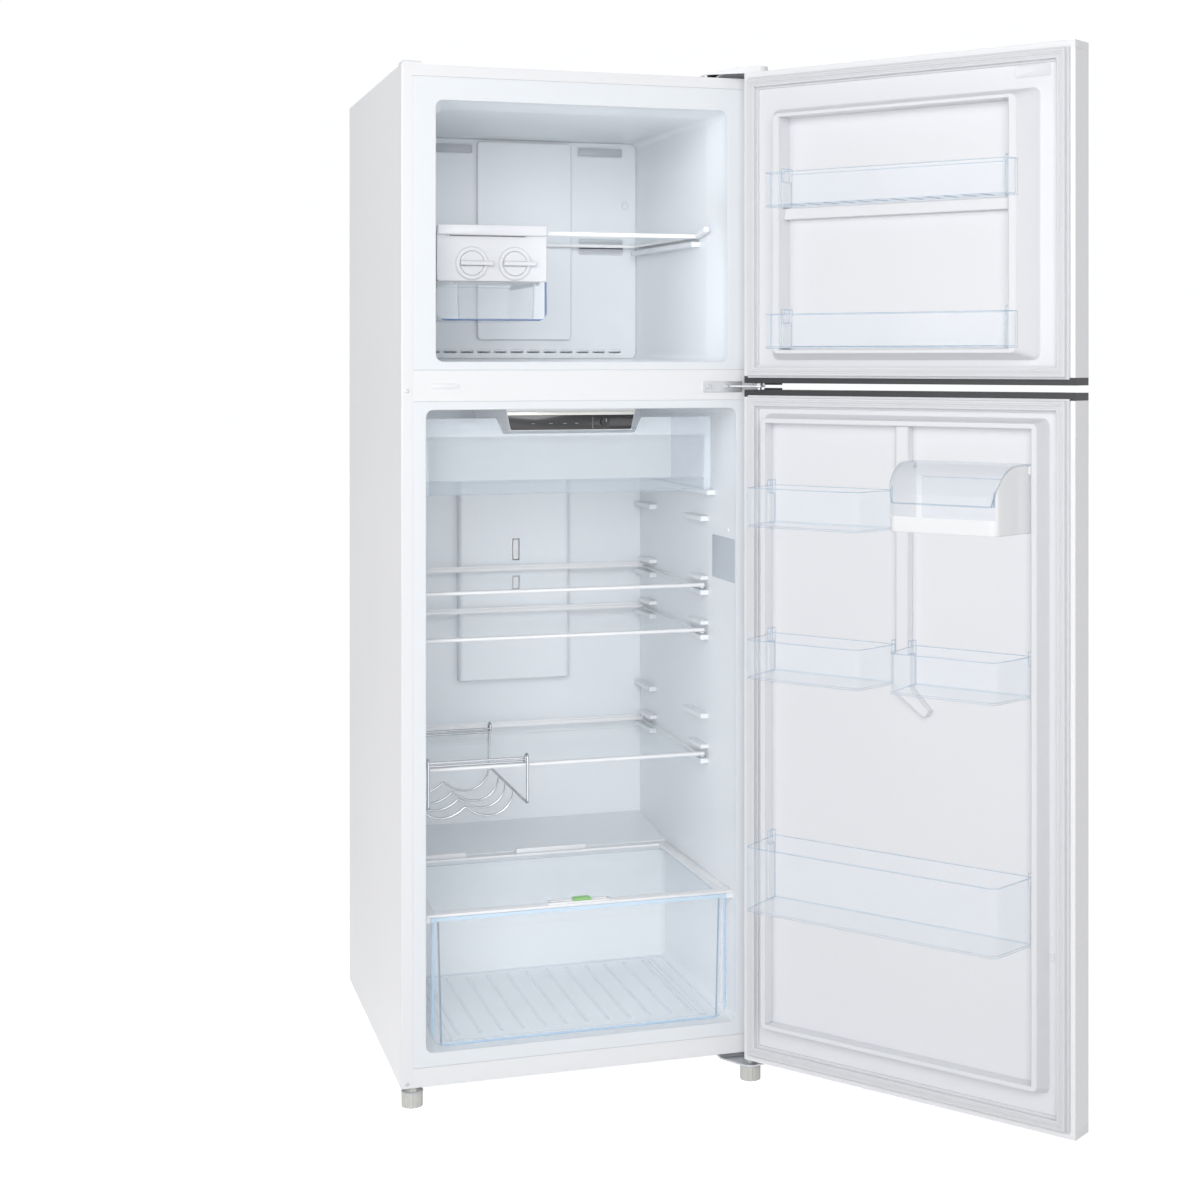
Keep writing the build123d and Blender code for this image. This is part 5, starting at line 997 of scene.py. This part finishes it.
class FRIDGE_OT_freezer_shelf(Operator):
    """Put a glass pane, a white frame and the light's arm in place of the plain freezer shelf"""

    bl_idname = "fridge.freezer_shelf"
    bl_label = "Freezer shelf"

    def execute(self, context):
        sizes = context.scene.fridge_shelves
        low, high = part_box("freezer_shelf")
        top = place(0, 0, SHELF_TOP).z
        front = place(0, SHELF_FRONT, 0).y
        under = top - sizes.glass
        drawn = 1 - 2 * 0.0185 / (high.x - low.x)
        pane = box_piece(
            "freezer_shelf_glass",
            (low.x + 0.005, front + 0.004, under),
            (high.x - 0.005, high.y - 0.004, top),
        )
        tapered(pane, (0, 1, 0), drawn)
        softened(pane, SOFT)
        rim = box_piece("rim", (low.x, front, under - 0.0008), (high.x, high.y, top + 0.0012))
        tapered(rim, (0, 1, 0), drawn)
        framed(rim, (0, 0, 1), 0.0085)
        bar = box_piece(
            "front",
            (low.x - 0.0002, front - 0.0004, top - 0.0052),
            (high.x + 0.0002, front + 0.006, top + 0.0016),
        )
        arm = box_piece(
            "arm",
            (high.x - 0.0095, low.y, top - 0.006),
            (high.x - 0.0005, front + 0.004, top + 0.0022),
        )
        edit(arm, "FACE", facing((0, -1, 0)))
        bpy.ops.transform.translate(value=(0, 0, 0.0095))
        clear()
        whole = softened(joined("freezer_shelf_frame", [rim, bar, arm]), SOFT)
        lets_light_by(pane)
        finished(pane, "freezer_shelf_unit", shelf_glass())
        plastic = white_moulding()
        finished(whole, "freezer_shelf_unit", plastic, ("freezer_shelf",))
        return {"FINISHED"}


class FRIDGE_OT_crisper_cover(Operator):
    """Put a pane, a white frame, rear stops and the slider's track in place of the cover"""

    bl_idname = "fridge.crisper_cover"
    bl_label = "Crisper cover"

    def execute(self, context):
        low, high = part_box("crisper_cover")
        under, upper = low.z, low.z + 0.004
        drawn = 1 - 2 * 0.0053 / (high.x - low.x)
        pane = box_piece(
            "crisper_cover_glass",
            (low.x + 0.016, low.y + 0.022, under + 0.0005),
            (high.x - 0.016, high.y - 0.014, upper - 0.0006),
        )
        tapered(pane, (0, 1, 0), drawn)
        softened(pane, 0.0005)
        rim = box_piece("rim", (low.x, low.y, under), (high.x, high.y, upper))
        tapered(rim, (0, 1, 0), drawn)
        framed(rim, (0, 0, 1), 0.019)
        bits = [rim]
        for left, right in ((104, 178), (270, 399)):
            left, right = place(left, 0, 0).x, place(right, 0, 0).x
            start = (left, high.y - 0.008, upper - 0.001)
            bits.append(box_piece("stop", start, (right, high.y, high.z)))
        track = block("track", (245, 24, 266), (350, 42, 269))
        bevelled(track, along("Z"), 0.003, 3)
        edit(track, "FACE", facing((0, 0, 1)))
        bpy.ops.mesh.inset(thickness=0.0050)
        bpy.ops.mesh.extrude_region_move(TRANSFORM_OT_translate={"value": (0, 0, -0.0020)})
        clear()
        bits.append(track)
        whole = softened(joined("crisper_cover_frame", bits), 0.0005)
        marks = []
        for x, wide in ((246.2, 2.4), (346.0, 1.2), (348.0, 1.2)):
            marks.append(block("mark", (x, 31, 268.8), (x + wide, 35, 269.05)))
        marks = joined("slider_marks", marks)
        lets_light_by(pane)
        finished(pane, "cabinet", shelf_glass())
        finished(whole, "cabinet", white_moulding(), ("crisper_cover",))
        fixed(marks, shade_and_mark_grey(), 0.00008)
        return {"FINISHED"}


class FRIDGE_OT_control_panel(Operator):
    """Lay the black face, its bright upper edge and the dial's marks on the control box"""

    bl_idname = "fridge.control_panel"
    bl_label = "Control panel"

    def execute(self, context):
        face = block("control_face", (196.5, 92.4, 1041), (403.5, 93.4, 1066))
        edit(face, "FACE", facing((0, 0, 1)))
        bpy.ops.transform.resize(value=(1.05, 1, 1), center_override=place(300, 93, 1066))
        clear()
        bevelled(face, along("Y"), 0.0022, 3)
        fixed(face, panel_black(), FINE)
        trim = block("control_trim", (190.5, 91.8, 1065.4), (409.5, 93.4, 1072))
        bevelled(trim, along("X"), 0.0006, 3)
        fixed(trim, silver_trim(), 0.0003)
        marks = [block("divider", (336.6, 92.25, 1043), (337.2, 92.45, 1062))]
        for x in (232, 262, 286, 306):
            marks.append(block("mark", (x, 92.3, 1051.2), (x + 6, 92.45, 1052.0)))
        fixed(joined("control_marks", marks), shade_and_mark_grey(), 0.00005)
        pointer = block("dial_pointer", (357.6, 83.7, 1054), (358.4, 84.1, 1059.5))
        finished(softened(pointer, HAIR), "control_knob_body", white_moulding())
        return {"FINISHED"}


class FRIDGE_OT_vents(Operator):
    """Frame the vents of the evaporator cover and lay the louvres in its foot and in the duct"""

    bl_idname = "fridge.vents"
    bl_label = "Vents"

    def execute(self, context):
        for name, (left, right, low, high) in (
            ("upper_left_vent", (114.5, 202.5, 1534.5, 1553.5)),
            ("upper_right_vent", (397.5, 485.5, 1534.5, 1553.5)),
            ("lower_right_vent", (399.5, 487.5, 1353.5, 1384.5)),
        ):
            # Each pocket floor is painted shade: a grey plate behind the vent, darker than the
            # cover, standing for the shade in the recess.
            pocket = ((left + 1, 449.5, low + 1), (right - 1, 449.9, high - 1))
            floor = block(name + "_pocket", *pocket)
            bevelled(floor, along("Y"), 0.0036, 4)
            fixed(floor, shade_and_mark_grey(), HAIR)
            rim = block(name, (left, 447.4, low), (right, 450.2, high))
            bevelled(rim, along("Y"), 0.0046, 4)
            bits = [framed(rim, (0, 1, 0), 0.0020)]
            if name == "lower_right_vent":
                bits.append(block("bar", (left + 1, 447.6, 1366.5), (right - 1, 450.0, 1371.5)))
            fixed(joined(name, bits), formed_liner(), 0.0005)
        # A dark strip under the lower vent's bar: painted shade.
        shade = block("vent_shade", (401.5, 448.6, 1364.6), (485.5, 449.6, 1366.6))
        fixed(shade, painted_gap_shade(), FINE)
        strips = []
        for index in range(RETURN_SLOTS):
            x = WIDTH / 2 + (index - (RETURN_SLOTS - 1) / 2) * RETURN_PITCH
            strips.append(block("strip", (x - 11.4, 449.7, 1173.4), (x + 11.4, 452.0, 1176.6)))
            for step in range(RETURN_TEETH):
                middle = x + (step - (RETURN_TEETH - 1) / 2) * TOOTH_PITCH
                tooth = ((middle - 0.9, 449.9, 1170.2), (middle + 0.9, 451.6, 1174))
                strips.append(block("tooth", *tooth))
        fixed(joined("return_louvres", strips), formed_liner(), FINE)
        inserts = []
        for low, high in ((782.4, 819.6), (727.4, 749.6)):
            inserts.append(pad("insert", (297.3, 541.9, low), (307.7, 543.2, high), "Y", 0.0012))
        finished(joined("duct_slot_inserts", inserts), "cabinet", white_moulding())
        cap = round_piece("sensor_ring", place(490, 446.8, 1446), 0.0072, 0.0014, "Y", 28)
        framed(cap, (0, 1, 0), 0.0015)
        fixed(cap, white_moulding(), 0.0003)
        return {"FINISHED"}


class FRIDGE_OT_plates(Operator):
    """Lay the blank plates, the small caps and the door's notches"""

    bl_idname = "fridge.plates"
    bl_label = "Blank plates and caps"

    def execute(self, context):
        plate = block("wall_plate", (559.0, 5, 784), (560.0, 124, 857))
        edit(plate, "FACE", facing((0, 1, 0)))
        bpy.ops.transform.translate(value=(-0.0014, 0, 0))
        bevelled(plate, along("X"), 0.003, 3)
        fixed(plate, blank_plate(), HAIR)
        oval = pad("wall_cap", (558.2, 38, 866), (559.8, 54, 874), "X", 0.0038)
        finished(oval, "cabinet", white_moulding())
        badge = block("badge_rest", (40, -12.2, 1581), (100, -11.2, 1600))
        bevelled(badge, along("Y"), 0.004, 4)
        edit(badge, "FACE", facing((0, 1, 0)))
        bpy.ops.mesh.inset(thickness=0.0012)
        bpy.ops.mesh.inset(thickness=0.0006, depth=-0.0007)
        clear()
        softened(badge, FINE)
        finished(swung(badge), "freezer_door", plate_moulding())
        for name, (left, right, low, high) in (
            ("hinge_side_notch", (559.5, 569.0, 840, 868)),
            ("free_side_notch", (34.5, 42.5, 262, 275)),
        ):
            notch = block(name, (left, -12.4, low), (right, -10.6, high))
            bevelled(notch, along("Y"), 0.002, 3)
            framed(notch, (0, 1, 0), 0.0018)
            softened(notch, FINE)
            finished(swung(notch), "fridge_door", plate_moulding())
        plug = pad("hinge_hole_plug", (50.5, -2.2, 1112.6), (91.0, -1.0, 1118.6), "Y", 0.0028)
        finished(plug, "cabinet", white_moulding())
        top = pad("ice_maker_plate", (73, 82.0, 1363.4), (255.5, 84.0, 1380.4), "Y", 0.0012)
        dots = []
        for x in (88, 222):
            dots.append(round_piece("dot", place(x, 82.8, 1362.2), 0.0014, 0.0006, "Y", 16))
        dots = joined("ice_maker_dots", dots)
        # A dark strip in the seam under the ice maker's plate: painted shade.
        gap = block("ice_maker_seam", (92, 82.7, 1361.6), (219, 83.4, 1362.6))
        finished(softened(gap, HAIR), "freezer_shelf_unit", painted_gap_shade())
        # The ice maker's plate takes the doors' darker liner colour too: painted shade against the
        # strong front light.
        finished(top, "freezer_shelf_unit", door_liner())
        finished(softened(dots, HAIR), "freezer_shelf_unit", shade_and_mark_grey())
        return {"FINISHED"}


class FRIDGE_OT_fixings(Operator):
    """Set the screws of the middle hinge, the flange and the back panel"""

    bl_idname = "fridge.fixings"
    bl_label = "Fixings"

    def execute(self, context):
        hinge = [(x, -3.6, 1113.5) for x in (511.6, 542.2)]
        flange = [(9.3, -0.6, z) for z in (7, 1108)]
        levels = (250, 520, 790, 1060, 1330, 1600)
        rows = [(x, SCREW_PLANE, z) for x in (18, 582) for z in levels]
        rows += [(x, SCREW_PLANE, 1612) for x in (160, 300, 440)]
        screws("middle_hinge_screws", "cabinet", hinge, "Y", -1, 0.0044)
        screws("flange_screws", "cabinet", flange, "Y", -1, 0.0034)
        screws("back_panel_screws", "cabinet", rows, "Y", 1, 0.0034)
        return {"FINISHED"}


class FRIDGE_OT_feet(Operator):
    """Put a dark rim round the top of each levelling foot"""

    bl_idname = "fridge.feet"
    bl_label = "Foot rims"

    def execute(self, context):
        for name, (x, y) in (("left", (20, 15)), ("right", (573, -35))):
            rim = round_piece(name + "_foot_rim", place(x, y, -8.6), 0.0176, 0.0024, "Z", 48)
            framed(rim, (0, 0, 1), 0.004)
            fixed(rim, shade_and_mark_grey(), SOFT)
        return {"FINISHED"}


def lamp_at(name, spot, turn):
    """An area lamp in its place, still to be given its size and power."""
    lamp = bpy.data.lights.new(name, "AREA")
    holder = bpy.data.objects.new(name, lamp)
    bpy.context.scene.collection.objects.link(holder)
    holder.location = spot
    holder.rotation_euler = turn
    return lamp


class FRIDGE_OT_stage(Operator):
    """Set up the floor, the lamps, the sky and the camera"""

    bl_idname = "fridge.stage"
    bl_label = "Stage"

    def execute(self, context):
        studio = context.scene.fridge_studio
        clear()
        bpy.ops.mesh.primitive_plane_add(size=FLOOR_SIZE, location=(0, 3, 0))
        floor = named("studio_floor")
        made, shader = material("Pale floor")
        tree = made.node_tree
        shader.inputs["Base Color"].default_value = (*studio.floor, 1)
        shader.inputs["Roughness"].default_value = 0.9
        shader.inputs["Specular IOR Level"].default_value = 0.1
        glow = tree.nodes.new("ShaderNodeEmission")
        path = tree.nodes.new("ShaderNodeLightPath")
        seen = maths(tree, "MAXIMUM")
        level = maths(tree, "MULTIPLY", None, FLOOR_GLOW)
        both = tree.nodes.new("ShaderNodeAddShader")
        wired(
            tree,
            (path, "Is Camera Ray", seen, 0),
            (path, "Is Glossy Ray", seen, 1),
            (seen, "Value", level, 0),
            (level, "Value", glow, "Strength"),
            (shader, "BSDF", both, 0),
            (glow, "Emission", both, 1),
            (both, "Shader", tree.nodes["Material Output"], "Surface"),
        )
        floor.data.materials.append(made)

        for name, power, size, spot, aim in (
            ("key", studio.key, 2.6, (-0.9, -3.9, 2.0), (0.28, 0.2, 0.8)),
            ("side", studio.side, 2.0, (-3.4, -1.6, 1.8), (0.2, 0.2, 0.8)),
            ("fill", studio.fill, 2.0, (2.6, -3.4, 1.6), (0.4, 0.2, 0.7)),
        ):
            turn = (Vector(aim) - Vector(spot)).to_track_quat("-Z", "Y").to_euler()
            lamp = lamp_at(name, spot, turn)
            lamp.energy = power
            lamp.size = size

        for name, share, (left, right, low, high) in (
            ("freezer_lamp", 1.8, (75, 525, 1440, 1555)),
            ("shelf_lamp", 2.0, (275, 525, 1175, 1360)),
            ("fridge_lamp", 0.65, (60, 540, 290, 1060)),
            ("crisper_lamp", 0.9, (60, 540, 70, 250)),
        ):
            middle = place((left + right) / 2, LAMP_PLANE, (low + high) / 2)
            lamp = lamp_at(name, middle, (radians(90), 0, 0))
            lamp.shape = "RECTANGLE"
            lamp.size = (right - left) / 1000
            lamp.size_y = (high - low) / 1000
            lamp.energy = share * studio.rooms * pi * lamp.size * lamp.size_y
            lamp.color = ROOM_LIGHT

        world = bpy.data.worlds.new("Even light")
        context.scene.world = world
        world.use_nodes = True
        tree = world.node_tree
        sky = tree.nodes["Background"]
        sky.inputs["Color"].default_value = (0.97, 0.985, 1.0, 1)
        path = tree.nodes.new("ShaderNodeLightPath")
        seen = maths(tree, "MAXIMUM")
        both = maths(tree, "MAXIMUM")
        strength = tree.nodes.new("ShaderNodeMix")
        strength.inputs["A"].default_value = studio.sky
        strength.inputs["B"].default_value = SEEN_SKY
        wired(
            tree,
            (path, "Is Camera Ray", seen, 0),
            (path, "Is Glossy Ray", seen, 1),
            (seen, "Value", both, 0),
            (path, "Is Transmission Ray", both, 1),
            (both, "Value", strength, "Factor"),
            (strength, "Result", sky, "Strength"),
        )

        lens = bpy.data.cameras.new("photo_camera")
        lens.lens = studio.lens
        lens.sensor_width = 36
        lens.shift_x, lens.shift_y = CAMERA_SHIFT
        lens.clip_start = 0.05
        camera = bpy.data.objects.new("photo_camera", lens)
        context.scene.collection.objects.link(camera)
        camera.location = CAMERA_SPOT
        camera.rotation_euler = (radians(90), 0, radians(CAMERA_TURN))
        context.scene.camera = camera
        context.scene.view_settings.view_transform = "Standard"
        return {"FINISHED"}


class FRIDGE_PT_build(Panel):
    """Lists the refrigerator's pieces and settings"""

    bl_label = "Refrigerator"
    bl_space_type = "VIEW_3D"
    bl_region_type = "UI"
    bl_category = "Refrigerator"

    def draw(self, context):
        column = self.layout.column(align=True)
        for operator in OPERATORS:
            column.operator(operator.bl_idname)
        for group_name in GROUPS:
            settings = getattr(context.scene, group_name)
            for name in settings.bl_rna.properties.keys():
                if name not in ("rna_type", "name"):
                    column.prop(settings, name)


GROUPS = {
    "fridge_colours": EnamelAndPlasticColours,
    "fridge_clear": ClearColours,
    "fridge_shelves": ShelfSizes,
    "fridge_seals": SealSizes,
    "fridge_studio": StudioSettings,
}
OPERATORS = (
    FRIDGE_OT_stage,
    FRIDGE_OT_finishes,
    FRIDGE_OT_shelves,
    FRIDGE_OT_freezer_shelf,
    FRIDGE_OT_crisper_cover,
    FRIDGE_OT_seals,
    FRIDGE_OT_control_panel,
    FRIDGE_OT_vents,
    FRIDGE_OT_plates,
    FRIDGE_OT_fixings,
    FRIDGE_OT_feet,
)


def register():
    for settings in GROUPS.values():
        bpy.utils.register_class(settings)
    for name, settings in GROUPS.items():
        setattr(bpy.types.Scene, name, PointerProperty(type=settings))
    for operator in OPERATORS:
        bpy.utils.register_class(operator)
    bpy.utils.register_class(FRIDGE_PT_build)


def unregister():
    bpy.utils.unregister_class(FRIDGE_PT_build)
    for operator in reversed(OPERATORS):
        bpy.utils.unregister_class(operator)
    for name in GROUPS:
        delattr(bpy.types.Scene, name)
    for settings in reversed(GROUPS.values()):
        bpy.utils.unregister_class(settings)


def main():
    register()
    bpy.ops.fridge.stage()
    bpy.ops.fridge.finishes()
    bpy.ops.fridge.shelves()
    bpy.ops.fridge.freezer_shelf()
    bpy.ops.fridge.crisper_cover()
    bpy.ops.fridge.seals()
    bpy.ops.fridge.control_panel()
    bpy.ops.fridge.vents()
    bpy.ops.fridge.plates()
    bpy.ops.fridge.fixings()
    bpy.ops.fridge.feet()


if __name__ == "__main__":
    main()
